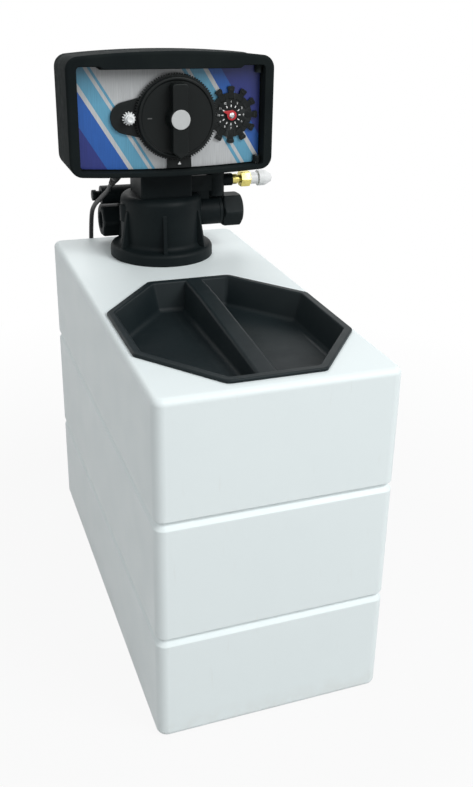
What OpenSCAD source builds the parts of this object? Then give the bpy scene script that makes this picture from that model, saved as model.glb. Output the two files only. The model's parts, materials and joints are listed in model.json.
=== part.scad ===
// Compact cabinet water softener: a moulded cabinet with a lift-out salt lid, a resin vessel,
// a brine well and a mechanical time-clock control valve on top of the vessel.
// Millimetres, +Z up, front towards -Y, origin on the floor under the middle of the cabinet.

/* [Cabinet] */
// Width of the cabinet, left to right
cabinet_w = 230; // [224:1:260]
// Depth of the cabinet, front to back
cabinet_d = 482; // [476:1:540]
// Height of the cabinet's top above the floor
cabinet_h = 355; // [340:1:420]
// Wall of the moulded cabinet
cabinet_wall = 4; // [3:0.5:5]
// Radius of the upright edges
cabinet_corner_r = 18; // [14:1:26]
// Radius of the edge round the top
top_edge_r = 12; // [8:1:13]
// Radius of the edge round the foot
foot_edge_r = 8; // [5:1:10]
// Height of the lower groove
low_groove_z = 110; // [90:1:130]
// Height of the upper groove
high_groove_z = 234; // [210:1:260]
// Height of a groove
groove_h = 8; // [6:0.5:10]
// Depth of a groove
groove_depth = 3.5; // [2:0.5:4]

/* [Salt lid] */
// Width of the lid's rim
lid_w = 216; // [200:1:218]
// Depth of the lid's rim, front to back
lid_d = 270; // [240:1:280]
// Length of the lid's short front and rear edges
lid_front_edge = 92; // [70:1:120]
// Length of the lid's side edges
lid_side_edge = 110; // [80:1:140]
// Distance from the cabinet's front to the lid
lid_front_gap = 15; // [12:1:20]
// Rounding of the lid's corners
lid_corner_r = 8; // [4:1:12]
// Thickness of the rim that lies on the cabinet
lid_rim_t = 3.5; // [2.5:0.5:5]
// Width of the rim up to the pockets
lid_rim_w = 8; // [7:0.5:10]
// Depth of the tray under the cabinet's top
lid_depth = 30; // [24:1:36]
// Slope of the tray's walls over their height
lid_draft = 9; // [5:1:12]
// Wall of the lid
lid_wall = 2.5; // [2:0.25:3]
// Width of the ridge between the two pockets, at its top
ridge_w = 20; // [16:1:26]
// Drop of the ridge's top from the rear to the front
ridge_drop = 16; // [8:1:18]
// Place of the ridge, left to right
ridge_x = 4; // [-10:1:10]
// Play between the tray and the cabinet's opening
lid_gap = 1; // [0.5:0.25:2]

/* [Resin vessel] */
// Outer radius of the vessel
tank_r = 75; // [68:1:75]
// Wall of the vessel
tank_wall = 3; // [2.5:0.5:4]
// Height of the vessel's upper dome
tank_dome_h = 36; // [30:1:44]
// Outer radius of the vessel's neck
tank_neck_r = 42; // [39:1:46]
// Height of the vessel's neck
tank_neck_h = 20; // [16:1:24]
// Distance from the cabinet's rear face to the vessel's axis
valve_inset = 86; // [84:1:96]
// Outer radius of the riser tube
riser_r = 13.35; // [12:0.05:14]
// Wall of the riser tube
riser_wall = 1.8; // [1.5:0.1:2.4]
// Radius of a strainer basket
strainer_r = 23; // [20:1:26]
// Height of a strainer basket
strainer_h = 34; // [28:1:40]

/* [Brine side] */
// Outer radius of the brine well
well_r = 40; // [36:1:42]
// Wall of the brine well
well_wall = 2.5; // [2:0.25:3]
// Height of the brine well's top
well_top_z = 300; // [290:1:306]
// Height of the salt grid
grid_z = 60; // [50:1:75]
// Thickness of the salt grid
grid_t = 4; // [3:0.5:6]
// Radius of the pickup tube
pickup_r = 5; // [4:0.5:6]
// Radius of the float
float_r = 19; // [15:1:19]
// Height of the float
float_h = 30; // [24:1:36]
// Height of the float's underside at rest
float_z = 70; // [68:1:80]
// Radius of the float's rod
float_rod_r = 2.5; // [2:0.25:3]
// Travel of the float
float_travel = 60; // [40:1:60]

/* [Control valve] */
// Radius of the threaded spigot in the vessel's neck
spigot_r = 31.5; // [30:0.5:33]
// Length of the spigot under the cabinet's top
spigot_h = 30; // [26:1:36]
// Radius of the flange on the cabinet
flange_r = 60; // [56:1:64]
// Height of the flange
flange_h = 14; // [11:1:16]
// Radius of the valve's column
column_r = 47; // [44:1:50]
// Height of the column above the cabinet's top
column_h = 73; // [68:1:80]
// Radius of the column's shoulder
shoulder_r = 8; // [5:1:11]
// Width of the block under the head
neck_w = 60; // [56:1:70]
// Depth of the block under the head, front to back
neck_d = 56; // [52:1:62]
// Number of gusset ribs round the column
rib_count = 6; // [4:1:8]
// Thickness of a gusset rib
rib_t = 4; // [3:0.5:5]
// Radius of the bore that holds the seal stack
stack_r = 20; // [18.5:0.5:22]
// Radius of the piston
piston_r = 14; // [12:0.5:14]
// Length of the piston
piston_h = 30; // [26:1:32]
// Radius of the piston's rod
rod_r = 5; // [4:0.5:6]
// Height of a seal in the stack
seal_h = 4; // [3:0.5:5]
// Height of a spacer in the stack
spacer_h = 10; // [9:0.5:11]
// Height of the drain port above the cabinet's top
drain_lift = 48; // [38:1:48]
// Radius of the drain port
drain_r = 17; // [14:0.5:17.5]
// Bore of the drain port
drain_bore_r = 8; // [6:0.5:8.5]
// Distance of the drain nut's open end from the valve's axis
drain_reach = 97; // [94:1:110]
// Width of a union nut across its flats
nut_flats = 36; // [34:1:38]
// Length of a union nut
nut_len = 24; // [20:1:26]
// Bore of a union nut for the user's pipe
nut_bore_r = 10.5; // [9.5:0.5:11]

/* [Brine fitting] */
// Distance of the brine valve's axis to the right of the vessel's axis
brine_x = 66; // [62:1:70]
// Distance of the brine valve's axis in front of the vessel's axis
brine_front = 2; // [0:1:18]
// Radius of the brine valve's boss
brine_boss_r = 10.5; // [9:0.5:12]
// Height of the brine fitting above the cabinet's top
brine_lift = 84; // [76:1:86]
// Radius of the brass tube
brass_r = 4.6; // [3.5:0.1:5]
// Width of the brass nut across its flats
brass_flats = 17; // [13:0.5:18]
// Radius of the white end cap
cap_r = 9.4; // [7:0.2:10]
// Length of the white end cap's dome
cap_len = 18; // [14:1:20]
// Travel of the brine valve's stem
stem_travel = 6; // [4:0.5:7]

/* [Bypass] */
// Distance of the bypass behind the vessel's axis
bypass_back = 64; // [63:1:65]
// Depth of the bypass body, front to back
bypass_d = 26; // [24:1:28]
// Width of the spool housing
bypass_w = 116; // [110:1:120]
// Height of the ports above the cabinet's top
bypass_port_lift = 27; // [26:1:28]
// Height of the spool above the cabinet's top
spool_lift = 58; // [57:1:62]
// Radius of the spool housing
spool_housing_r = 11; // [10:0.5:12]
// Radius of the spool's rod
spool_r = 5; // [4:0.5:5.5]
// Travel of the spool to either side
spool_travel = 5; // [3:1:6]

/* [Head] */
// Width of the head
head_w = 228; // [226:1:240]
// Height of the head at its middle
head_h = 132; // [130:1:140]
// Height of the head's underside above the cabinet's top
head_lift = 104; // [100:1:110]
// Distance from the vessel's axis forward to the head's rim
head_reach = 62; // [58:1:66]
// Depth of the front frame
frame_d = 58; // [56:1:64]
// Depth of the rear cover
cover_d = 42; // [40:1:50]
// Wall of the head's covers
head_wall = 3; // [2.5:0.25:3.5]
// Corner radius of the head
head_corner_r = 14; // [10:1:18]
// Rise of the head's top edge from its corners to its middle
head_arch = 6; // [3:1:8]
// Drop of the head's lower edge from its corners to its middle
head_bow = 4; // [2:1:5]
// Drop of the head's top from the rim to the rear of the frame
head_fall = 3.5; // [0:0.5:6]
// Recess of the timer face behind the rim
face_recess = 14; // [12:1:16]
// Width of the window in the rim
window_w = 206; // [205:1:208]
// Width of the rim above the window, at the window's corners
rim_above = 9; // [8:0.5:13]
// Width of the rim under the window
rim_below = 5.5; // [5.5:0.5:8]
// Depth of the lip along the window's upper edge
lip_drop = 3; // [2:0.5:8]
// Drop of the window's lower edge from its corners to its middle
window_bow = 3.5; // [0:0.5:4]
// Thickness of the timer panel
panel_t = 3; // [2.5:0.25:3.5]
// Thickness of the face label
label_t = 0.6; // [0.4:0.1:0.8]
// Play round the timer panel
panel_gap = 0.8; // [0.5:0.1:1]
// Radius of a hinge pin
hinge_pin_r = 1.8; // [1.5:0.1:2]

/* [Dials] */
// Place of the main dial, left to right
dial_x = 4; // [0:0.5:6]
// Height of the main dial above the head's underside
dial_lift = 63; // [61:0.5:64]
// Radius of the regeneration knob
knob_r = 43; // [38:0.5:44]
// Thickness of the knob's disc
knob_t = 4.5; // [3.5:0.5:5]
// Height of the knob's grip above its disc
grip_h = 12; // [9:0.5:14]
// Width of the knob's grip
grip_w = 17; // [14:0.5:20]
// Radius of the white disc on the knob
disc_r = 10.4; // [9:0.2:11]
// Teeth of the clock gear
clock_teeth = 98; // [94:2:100]
// Teeth of the clock pinion
pinion_teeth = 14; // [14:1:17]
// Tooth module of the clock gears
clock_module = 0.93; // [0.88:0.01:0.94]
// Thickness of the clock gear
clock_gear_t = 3.4; // [3:0.1:3.6]
// Distance from the main dial to the day wheel
wheel_offset = 63.5; // [62:0.5:64]
// Radius of the day wheel's disc
wheel_r = 24; // [20:0.5:24.5]
// Radius of the day tabs' tips at rest
tab_tip_r = 31; // [27:0.5:31]
// Width of a day tab's shank
tab_w = 6; // [5:0.2:6.2]
// Travel of a day tab
tab_travel = 2.5; // [1.5:0.5:2.5]

/* [Drive] */
// Teeth of the main gear
main_teeth = 72; // [68:1:74]
// Teeth of the motor's pinion
motor_teeth = 15; // [14:1:17]
// Tooth module of the drive gears
drive_module = 1; // [0.95:0.05:1]
// Radius of the crank pin's circle
crank_r = 10; // [8:0.5:10]
// Radius of the knob's shaft
shaft_r = 4; // [3.5:0.25:4.5]
// Radius of the drive motor
motor_r = 20; // [18:0.5:20]
// Radius of the timer motor
timer_motor_r = 22; // [20:0.5:23]
// Backlash between meshing teeth
backlash = 0.2; // [0.15:0.05:0.3]

/* [Power cord] */
// Diameter of the cord
cord_d = 5.5; // [5:0.1:6]
// Turns of the put-away coil in each of its two layers
coil_turns = 3; // [2:1:4]
// Radius of the coil's innermost turn
coil_inner_r = 23; // [22:1:26]
// Clear gap between neighbouring turns
coil_gap = 0.6; // [0.5:0.1:1]
// Length of the tapered strain relief
relief_len = 24; // [20:1:30]
// Width of the plug
plug_w = 26; // [24:1:28]
// Length of the plug's body
plug_len = 36; // [32:1:42]

/* [Hidden] */
$fn = 64;
// Running play between a shaft and its bore
run_gap = 0.05;
// Play between pieces that stand still beside each other
seat_gap = 0.3;
// Overlap of a cut past the face that it opens
cut = 1;

// Places in the cabinet
rear_y = cabinet_d / 2;
front_y = -cabinet_d / 2;
floor_z = cabinet_wall;
ceiling_z = cabinet_h - cabinet_wall;
inner_inset = cabinet_wall + groove_depth;
lid_y = front_y + lid_front_gap + lid_d / 2;
valve_y = rear_y - valve_inset;
tank_base_r = tank_r - 22;
tank_base_h = 26;
tank_neck_z = ceiling_z - tank_neck_h;
tank_side_z = tank_neck_z - tank_dome_h;

// Places of the brine side
well_x = -(cabinet_w / 2 - inner_inset - well_r - 6);
well_y = valve_y - tank_r - well_r - 10;
pickup_x = well_x + well_r / 2 - 2;
float_x = well_x - 12;
guide_z = float_z + float_h + float_travel + 10;
guide_t = 4;
guide_step = 24;
stop_h = 3;

// Places of the valve
drain_z = cabinet_h + drain_lift;
column_top = cabinet_h + column_h;
head_z = cabinet_h + head_lift;
neck_top = head_z + head_wall;
stack_z = cabinet_h + flange_h + 3;
seal_count = 5;
stack_h = seal_count * seal_h + (seal_count - 1) * spacer_h;
stack_top = stack_z + stack_h;
end_plug_h = 12;
piston_z = stack_z + seal_h;
tail_r = nut_bore_r - 1;
pipe_depth = nut_len / 2;
arm_end = drain_reach - nut_len - 5;
brine_y = valve_y - brine_front;
brine_z = cabinet_h + brine_lift;
brine_top = head_z - 4;
brine_bottom = drain_z + nut_flats / 2 + 1;
brine_bore_r = brine_boss_r - 3.3;
stem_r = 3;
collar_r = brine_bore_r - 0.7;
spring_r = 5;
spring_wire_r = 0.6;
spring_turns = 5;
spring_seat_t = 2;
spring_z = brine_z + spring_seat_t;
spring_h = spring_turns * 2 * spring_wire_r + stem_travel + 1;
stem_low = brine_bottom + 4 + stem_travel + 1;
socket_end = brine_x + 20;
brine_way_r = 2.5;
brine_way_z = brine_z - 3.5;
bypass_y = valve_y + bypass_back;
bypass_face = bypass_y - bypass_d / 2;
port_z = cabinet_h + bypass_port_lift;
spool_z = cabinet_h + spool_lift;
port_half = bypass_w / 2 + 1 - nut_len;
knob_len = 5;

// Planes of the head, from front to back
head_front = valve_y - head_reach;
frame_back = head_front + frame_d;
cover_back = frame_back + cover_d;
panel_front = head_front + face_recess;
panel_back = panel_front + panel_t;
plate_gap = 18;
plate_front = panel_back + plate_gap;
plate_t = 3;
plate_back = plate_front + plate_t;
main_gear_y = plate_back + 1;
main_gear_t = 6;
yoke_front = valve_y - rod_r - 1;
yoke_t = 3.5;
crank_pin_r = 2.5;
label_front = panel_front - label_t;
base_t = 3.4;
base_front = label_front - base_t;
gear_back = base_front - seat_gap;
gear_front = gear_back - clock_gear_t;
knob_back = gear_front - 0.4;
knob_front = knob_back - knob_t;
grip_front = knob_front - grip_h;
wheel_t = 2.8;
wheel_back = label_front - 0.2;
wheel_front = wheel_back - wheel_t;
post_front = gear_back - 1;

// Places on the timer face
dial_z = head_z + dial_lift;
window_z = head_z + rim_below;
window_top = head_z + head_h - head_arch - rim_above;
lip_half = 79;
pinion_distance = clock_module * (clock_teeth + pinion_teeth) / 2;
pinion_x = dial_x - pinion_distance;
wheel_x = dial_x + wheel_offset;
wheel_z = dial_z;
hinge_x = window_w / 2 - 4.5;
hinge_y = panel_front - 4;
knuckle_r = hinge_pin_r + 1.8;
knuckle_h = 8;
hinge_low = window_low(hinge_x + knuckle_r);
pin_seat = 2.5;
sleeve_r = shaft_r + 4;
hub_r = shaft_r + 4;
button_r = 4;
button_travel = 2;
day_count = 12;
tab_t = 1.8;
tab_hold = 4;
tab_root_r = wheel_r - tab_travel - tab_hold;
motor_angle = 360 / main_teeth * round(170 * main_teeth / 360);
motor_distance = drive_module * (main_teeth + motor_teeth) / 2;
motor_x = dial_x + motor_distance * cos(motor_angle);
motor_z = dial_z + motor_distance * sin(motor_angle);
cover_posts = [for (sx = [-1, 1], z = [head_z + 24, head_z + head_h - 32]) [sx * (head_w / 2 - 20), z]];
post_r = 5;
screw_r = 1.8;
screw_len = 8;

// Route of the cord, from the strain relief to the coil
relief_axis = [-0.03, 0.86, -0.51] / norm([-0.03, 0.86, -0.51]);
gland_r = 5.5;
gland_root = [-60, head_front + 26, head_z - 2];
relief_end = gland_root + relief_len * relief_axis;
cord_bends = [[-61, 160, 432], [-62, 173, 425], [-63, 186, 418.5], [-64, 199, 412], [-65, 212, 405.5],
    [-65.5, 223, 399], [-66, 233, 391], [-66, 240.5, 380], [-66, 245, 367], [-66, 248, 354],
    [-66, 249.5, 342]];
cord_drop = [for (z = [331:-16:59]) [-66, 250, z]];
cord_floor = [[-66, 250, 45], [-64, 250, 31], [-59, 251, 18], [-50, 253, 8], [-38, 255, 4],
    [-24, 257, 3], [-9, 258, 3], [7, 258, 3]];
coil_x = 30;
coil_y = 300;
coil_pitch = cord_d + coil_gap;
coil_outer_r = coil_inner_r + coil_turns * coil_pitch;
coil_low_z = cord_d / 2 + 0.05;
coil_high_z = coil_low_z + coil_pitch;
coil_entry = [coil_x - cord_d, coil_y - coil_outer_r, coil_low_z];
coil_exit = [coil_x + 26, coil_y - coil_outer_r, coil_high_z];
loop_rings = 24;
cord_sides = 10;
coil_sides = 6;
plug_pin_r = 2;
plug_pin_len = 19;
plug_boot_len = 18;
plug_h = 2 * coil_high_z - 0.3;

black = "#23282a";
soft_black = "#2d3335";
white = "#eef1f1";
brass = "#c9b04a";
silver = "#b9bdc0";
cream = "#d8cfa8";
red = "#c0242c";

// A unit vector along v
function unit(v) = v / norm(v);

// Points of a rounded rectangle at height z, anticlockwise from above
function rounded_ring(w, d, r, z, steps = 5) = [for (q = [0:3], i = [0:steps])
    let (a = 90 * q + 90 * i / steps, sx = q == 0 || q == 3 ? 1 : -1, sy = q < 2 ? 1 : -1)
    [sx * (w / 2 - r) + r * cos(a), sy * (d / 2 - r) + r * sin(a), z]];

// One ring of the cabinet, drawn in by inset at height z
function cabinet_ring(z, inset) = rounded_ring(cabinet_w - 2 * inset, cabinet_d - 2 * inset,
    max(cabinet_corner_r - inset, 3), z);

// Height and inset along the cabinet's outer groove and along the wall behind it
function groove_outside(z) = [[z - groove_h / 2, 0], [z + groove_h / 16, groove_depth],
    [z + groove_h / 2, groove_depth], [z + groove_h / 2 + 0.2, 1], [z + groove_h / 2 + 1.2, 0]];
function groove_inside(z) = [[z - groove_h / 2 - 2 * groove_depth, cabinet_wall],
    [z - groove_h / 2, inner_inset], [z + groove_h / 2, inner_inset],
    [z + groove_h / 2 + 2 * groove_depth, cabinet_wall]];

// A ring of points round c, square to the direction t
function ring_at(c, t, ref, r, sides) = let (s = unit(cross(t, ref)), u = cross(t, s))
    [for (k = [0:sides - 1]) c + r * (cos(360 * k / sides) * s + sin(360 * k / sides) * u)];

// Direction of a path at its point i
function path_direction(p, i) = unit(p[min(i + 1, len(p) - 1)] - p[max(i - 1, 0)]);

// Least clear gap of a tube to itself, between points more than skip steps apart
function least_gap(p, d, skip) = min([for (i = [0:len(p) - 1])
    min(concat([1e6], [for (j = [i + skip:1:len(p) - 1]) norm(p[i] - p[j])]))]) - d;

// Closed skin over rings of equal count, each anticlockwise about the way they run
module loft(rings) {
    n = len(rings[0]);
    last = (len(rings) - 1) * n;
    sides = [for (k = [0:len(rings) - 2], i = [0:n - 1])
        let (a = k * n + i, b = k * n + (i + 1) % n) each [[a, a + n, b + n], [a, b + n, b]]];
    start = [for (i = [1:n - 2]) [0, i, i + 1]];
    end = [for (i = [1:n - 2]) [last, last + i + 1, last + i]];
    polyhedron(points = [for (g = rings) each g], faces = concat(sides, start, end));
}

// Round tube of radius r along a path
module tube(path, ref, r, sides) {
    loft([for (i = [0:len(path) - 1]) ring_at(path[i], path_direction(path, i), ref, r, sides)]);
}

// Plate with an outline in x and z, from the plane y0 back to the plane y1
module upright_plate(points, y0, y1) {
    translate([0, y1, 0]) rotate([90, 0, 0]) linear_extrude(y1 - y0) polygon(points);
}

// Round bar along y at x and z, from the plane y0 back to the plane y1
module y_bar(x, z, r, y0, y1) {
    translate([x, y0, z]) rotate([-90, 0, 0]) cylinder(r = r, h = y1 - y0);
}

// Round bar along x at y and z, from x0 to x1
module x_bar(y, z, r, x0, x1) {
    translate([x0, y, z]) rotate([0, 90, 0]) cylinder(r = r, h = x1 - x0);
}

// Round bar along z
module z_bar(x, y, r, z0, z1) {
    translate([x, y, z0]) cylinder(r = r, h = z1 - z0);
}

// Upright ring
module z_ring(x, y, outer, inner, z0, z1) {
    difference() {
        z_bar(x, y, outer, z0, z1);
        z_bar(x, y, inner, z0 - cut, z1 + cut);
    }
}

// Half of a tooth's angle at radius r, for involute flanks of 20 degrees with backlash
function involute(a) = tan(a) * 180 / PI - a;
function tooth_half(teeth, size, r) = let (pitch_r = size * teeth / 2, base_r = pitch_r * cos(20),
    a = acos(min(1, base_r / max(r, base_r))))
    90 / teeth + involute(20) - involute(a) - backlash / 2 / pitch_r * 180 / PI;

// Outline of a gear with a tooth at angle 0
function gear_outline(teeth, size, turn = 0) = let (pitch_r = size * teeth / 2,
    radii = [pitch_r - 1.25 * size, pitch_r - 0.3 * size, pitch_r + 0.8 * size])
    [for (t = [0:teeth - 1]) let (c = 360 * t / teeth + turn) each concat(
        [for (r = radii) let (a = c - tooth_half(teeth, size, r)) [r * cos(a), r * sin(a)]],
        [for (i = [2:-1:0]) let (r = radii[i], a = c + tooth_half(teeth, size, r))
            [r * cos(a), r * sin(a)]])];

// Toothed disc with its axis along y
module y_gear(x, z, teeth, size, y0, y1, turn = 0) {
    translate([x, 0, z]) upright_plate(gear_outline(teeth, size, turn), y0, y1);
}

// Hexagonal nut along x with chamfered ends
module x_nut(y, z, flats, x0, x1, bore) {
    corner = flats / 2 / cos(30);
    ease = flats / 12;
    difference() {
        intersection() {
            translate([x0, y, z]) rotate([0, 90, 0]) rotate([0, 0, 30])
                cylinder(r = corner, h = x1 - x0, $fn = 6);
            translate([x0, y, z]) rotate([0, 90, 0]) rotate_extrude()
                polygon([[0, 0], [corner - ease, 0], [corner, ease], [corner, x1 - x0 - ease],
                    [corner - ease, x1 - x0], [0, x1 - x0]]);
        }
        x_bar(y, z, bore, x0 - cut, x1 + cut);
    }
}

// Outline of the lid's octagon, drawn in by e
function octagon(e) = let (dx = (lid_w - lid_front_edge) / 2, dy = (lid_d - lid_side_edge) / 2,
    slant = norm([dx, dy]), hx = lid_w / 2 - e, hy = lid_d / 2 - e,
    fx = lid_front_edge / 2 - e * (slant - dx) / dy, sy = lid_side_edge / 2 - e * (slant - dy) / dx)
    [[hx, -sy], [hx, sy], [fx, hy], [-fx, hy], [-hx, sy], [-hx, -sy], [-fx, -hy], [fx, -hy]];

// Thin octagonal slice of the lid at height z
module lid_slice(e, z, t = 0.1) {
    translate([0, lid_y, z]) linear_extrude(t) polygon(octagon(e));
}

// Outline of the head in x and z, drawn in by e, with its top lowered by fall
function head_outline(e, fall = 0) = let (hw = head_w / 2 - e, r = max(head_corner_r - e, 3),
    low = head_z + e, high = head_z + head_h - e - fall, run = hw - r) concat(
    [for (i = [0:6]) let (x = run * (i / 3 - 1)) [x, low + head_bow * pow(x / hw, 2)]],
    [for (a = [-60:20:0]) [run + r * cos(a), low + head_bow + r + r * sin(a)]],
    [for (a = [0:20:60]) [run + r * cos(a), high - head_arch - r + r * sin(a)]],
    [for (i = [0:10]) let (x = run * (1 - i / 5)) [x, high - head_arch * pow(x / hw, 2)]],
    [for (a = [120:20:180]) [-run + r * cos(a), high - head_arch - r + r * sin(a)]],
    [for (a = [180:20:240]) [-run + r * cos(a), low + head_bow + r + r * sin(a)]]);

// Height of the window's lower edge at x
function window_low(x) = window_z + window_bow * pow(2 * x / window_w, 2);

// Outline of the window in the head's rim, drawn in by e
function window_outline(e) = let (hw = window_w / 2 - e, high = window_top - e, lip = lip_half + e) concat(
    [for (i = [-4:4]) let (x = hw * i / 4) [x, window_low(x) + e]],
    [[hw, high], [lip, high], [lip - 4, high - lip_drop], [4 - lip, high - lip_drop], [-lip, high],
        [-hw, high]]);

// Height and inset along the cabinet's outside and inside
lid_hang = lid_rim_w - lid_wall;
cabinet_outside = concat(
    [for (a = [0:30:90]) [foot_edge_r * (1 - cos(a)), foot_edge_r * (1 - sin(a))]],
    groove_outside(low_groove_z), groove_outside(high_groove_z),
    [for (a = [0:18:90]) [cabinet_h - top_edge_r * (1 - sin(a)), top_edge_r * (1 - cos(a))]]);
cabinet_inside = concat([[floor_z, cabinet_wall + foot_edge_r / 2], [floor_z + foot_edge_r, cabinet_wall]],
    groove_inside(low_groove_z), groove_inside(high_groove_z),
    [[cabinet_h - top_edge_r, cabinet_wall], [ceiling_z, cabinet_wall + top_edge_r / 2]]);

module cabinet_shell() color(white) difference() {
    loft([for (p = cabinet_outside) cabinet_ring(p[0], p[1])]);
    loft([for (p = cabinet_inside) cabinet_ring(p[0], p[1])]);
    lid_slice(lid_hang - lid_gap, ceiling_z - cut, cabinet_wall + 2 * cut);
    z_bar(0, valve_y, spigot_r + seat_gap, ceiling_z - cut, cabinet_h + cut);
}

// Octagonal tray with sloped walls
module lid_tray(e, z_low, z_high) {
    hull() {
        lid_slice(e + lid_draft, z_low);
        lid_slice(e, z_high - 0.1);
    }
}

// Ridge between the pockets, drawn in by e and stopped short of the tray's ends by short
module lid_ridge(e, short) {
    low = cabinet_h - lid_depth - cut;
    high = cabinet_h + lid_rim_t - e;
    half_top = ridge_w / 2 - e;
    half_low = half_top + lid_draft / 2;
    y0 = lid_y - lid_d / 2 + short;
    y1 = lid_y + lid_d / 2 - short;
    intersection() {
        translate([ridge_x, y1, 0]) rotate([90, 0, 0]) linear_extrude(y1 - y0)
            polygon([[-half_low, low], [half_low, low], [half_top, high], [-half_top, high]]);
        translate([ridge_x - ridge_w, 0, 0]) rotate([90, 0, 90]) linear_extrude(2 * ridge_w)
            polygon([[y0, low], [y1, low], [y1, high], [lid_y + lid_d / 2 - lid_d / 6, high],
                [y0, high - ridge_drop]]);
    }
}

module salt_lid() color(soft_black) difference() {
    union() {
        translate([0, lid_y, cabinet_h]) linear_extrude(lid_rim_t)
            offset(r = lid_corner_r, $fn = 32) offset(delta = -lid_corner_r) polygon(octagon(0));
        lid_tray(lid_hang, cabinet_h - lid_depth, cabinet_h);
    }
    difference() {
        lid_tray(lid_rim_w, cabinet_h - lid_depth + lid_wall, cabinet_h + lid_rim_t + cut);
        lid_ridge(0, 0);
    }
    lid_ridge(lid_wall, lid_rim_w + lid_draft + 2 * lid_wall);
}

module resin_tank() color(cream) translate([0, valve_y, 0]) rotate_extrude() polygon(concat(
    [[0, floor_z], [tank_base_r, floor_z]],
    [for (a = [15:15:90]) [tank_base_r + (tank_r - tank_base_r) * sin(a),
        floor_z + tank_base_h * (1 - cos(a))]],
    [for (a = [0:15:90]) [tank_neck_r + (tank_r - tank_neck_r) * cos(a),
        tank_side_z + tank_dome_h * sin(a)]],
    [[tank_neck_r, ceiling_z], [spigot_r + seat_gap, ceiling_z], [spigot_r + seat_gap, tank_neck_z]],
    [for (a = [75:-15:0]) [spigot_r + (tank_r - tank_wall - spigot_r) * cos(a),
        tank_side_z + (tank_dome_h - tank_wall) * sin(a)]],
    [for (a = [90:-15:15]) [tank_base_r + (tank_r - tank_wall - tank_base_r) * sin(a),
        floor_z + tank_wall + tank_base_h * (1 - cos(a))]],
    [[tank_base_r, floor_z + tank_wall], [0, floor_z + tank_wall]]));

riser_low = floor_z + tank_wall + 12;
riser_high = cabinet_h + flange_h - 2;
module riser_tube() color(white) z_ring(0, valve_y, riser_r, riser_r - riser_wall, riser_low, riser_high);

// Slotted basket round the riser with its underside at z
module basket(z) {
    difference() {
        z_ring(0, valve_y, strainer_r, riser_r + run_gap, z, z + strainer_h);
        for (a = [0:30:150], h = [0.25, 0.6])
            translate([0, valve_y, z + strainer_h * h]) rotate([0, 0, a])
                cube([2 * strainer_r + cut, 1.5, strainer_h / 5], center = true);
    }
}

module strainers() color(white) {
    basket(riser_low);
    basket(cabinet_h - spigot_h - strainer_h);
    z_bar(0, valve_y, strainer_r, floor_z + tank_wall, riser_low);
}

grid_play = 3;
grid_w = cabinet_w - 2 * (cabinet_wall + grid_play);
grid_front = front_y + cabinet_wall + grid_play;
grid_back = valve_y - tank_r - 2 * grid_play;
slot_w = 8;
slot_len = 34;
module salt_grid() color(white) {
    grid_d = grid_back - grid_front;
    grid_y = (grid_back + grid_front) / 2;
    leg_r = 7;
    difference() {
        translate([0, grid_y, grid_z]) linear_extrude(grid_t)
            polygon([for (p = rounded_ring(grid_w, grid_d, cabinet_corner_r, 0)) [p[0], p[1]]]);
        z_bar(well_x, well_y, well_r + 1, grid_z - cut, grid_z + grid_t + cut);
        for (i = [-3:3], j = [-2:2])
            let (x = i * grid_w / 8, y = grid_y + j * grid_d / 6)
            if (norm([x - well_x, y - well_y]) > well_r + slot_len)
                translate([x - slot_w / 2, y - slot_len / 2, grid_z - cut])
                    cube([slot_w, slot_len, grid_t + 2 * cut]);
    }
    for (x = [-1, 1], y = [grid_front + 16, grid_y + grid_d / 12])
        z_bar(x * grid_w / 8 * 3.5, y, leg_r, floor_z, grid_z);
}

module brine_well() color(white) difference() {
    z_ring(well_x, well_y, well_r, well_r - well_wall, floor_z, well_top_z);
    for (a = [0:45:135])
        translate([well_x, well_y, floor_z + 20]) rotate([0, 0, a])
            cube([2 * well_r + 2 * cut, 4, 24], center = true);
}

module brine_pickup() color(white) difference() {
    union() {
        z_bar(pickup_x, well_y, pickup_r, floor_z, well_top_z - 10);
        z_bar(pickup_x, well_y, pickup_r + 4, floor_z, floor_z + 20);
        for (z = [guide_z, guide_z + guide_step]) {
            translate([float_x, well_y - 4, z]) cube([pickup_x - float_x, 8, guide_t]);
            z_bar(float_x, well_y, float_rod_r + 3.5, z, z + guide_t);
        }
    }
    z_bar(pickup_x, well_y, pickup_r - 1.8, floor_z + 6, well_top_z);
    z_bar(float_x, well_y, float_rod_r + 2 * run_gap, guide_z - cut, guide_z + guide_step + guide_t + cut);
}

module brine_float() color(silver) {
    stop_z = guide_z + guide_step + guide_t;
    union() {
        z_bar(float_x, well_y, float_rod_r, float_z - 5, stop_z + 26);
        z_bar(float_x, well_y, float_rod_r + 3, stop_z, stop_z + stop_h);
        z_bar(float_x, well_y, float_r, float_z, float_z + float_h);
    }
}

flange_edge = 5;
rib_angle = -100;
flange_top = cabinet_h + flange_h;
spigot_low = cabinet_h - spigot_h;
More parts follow.
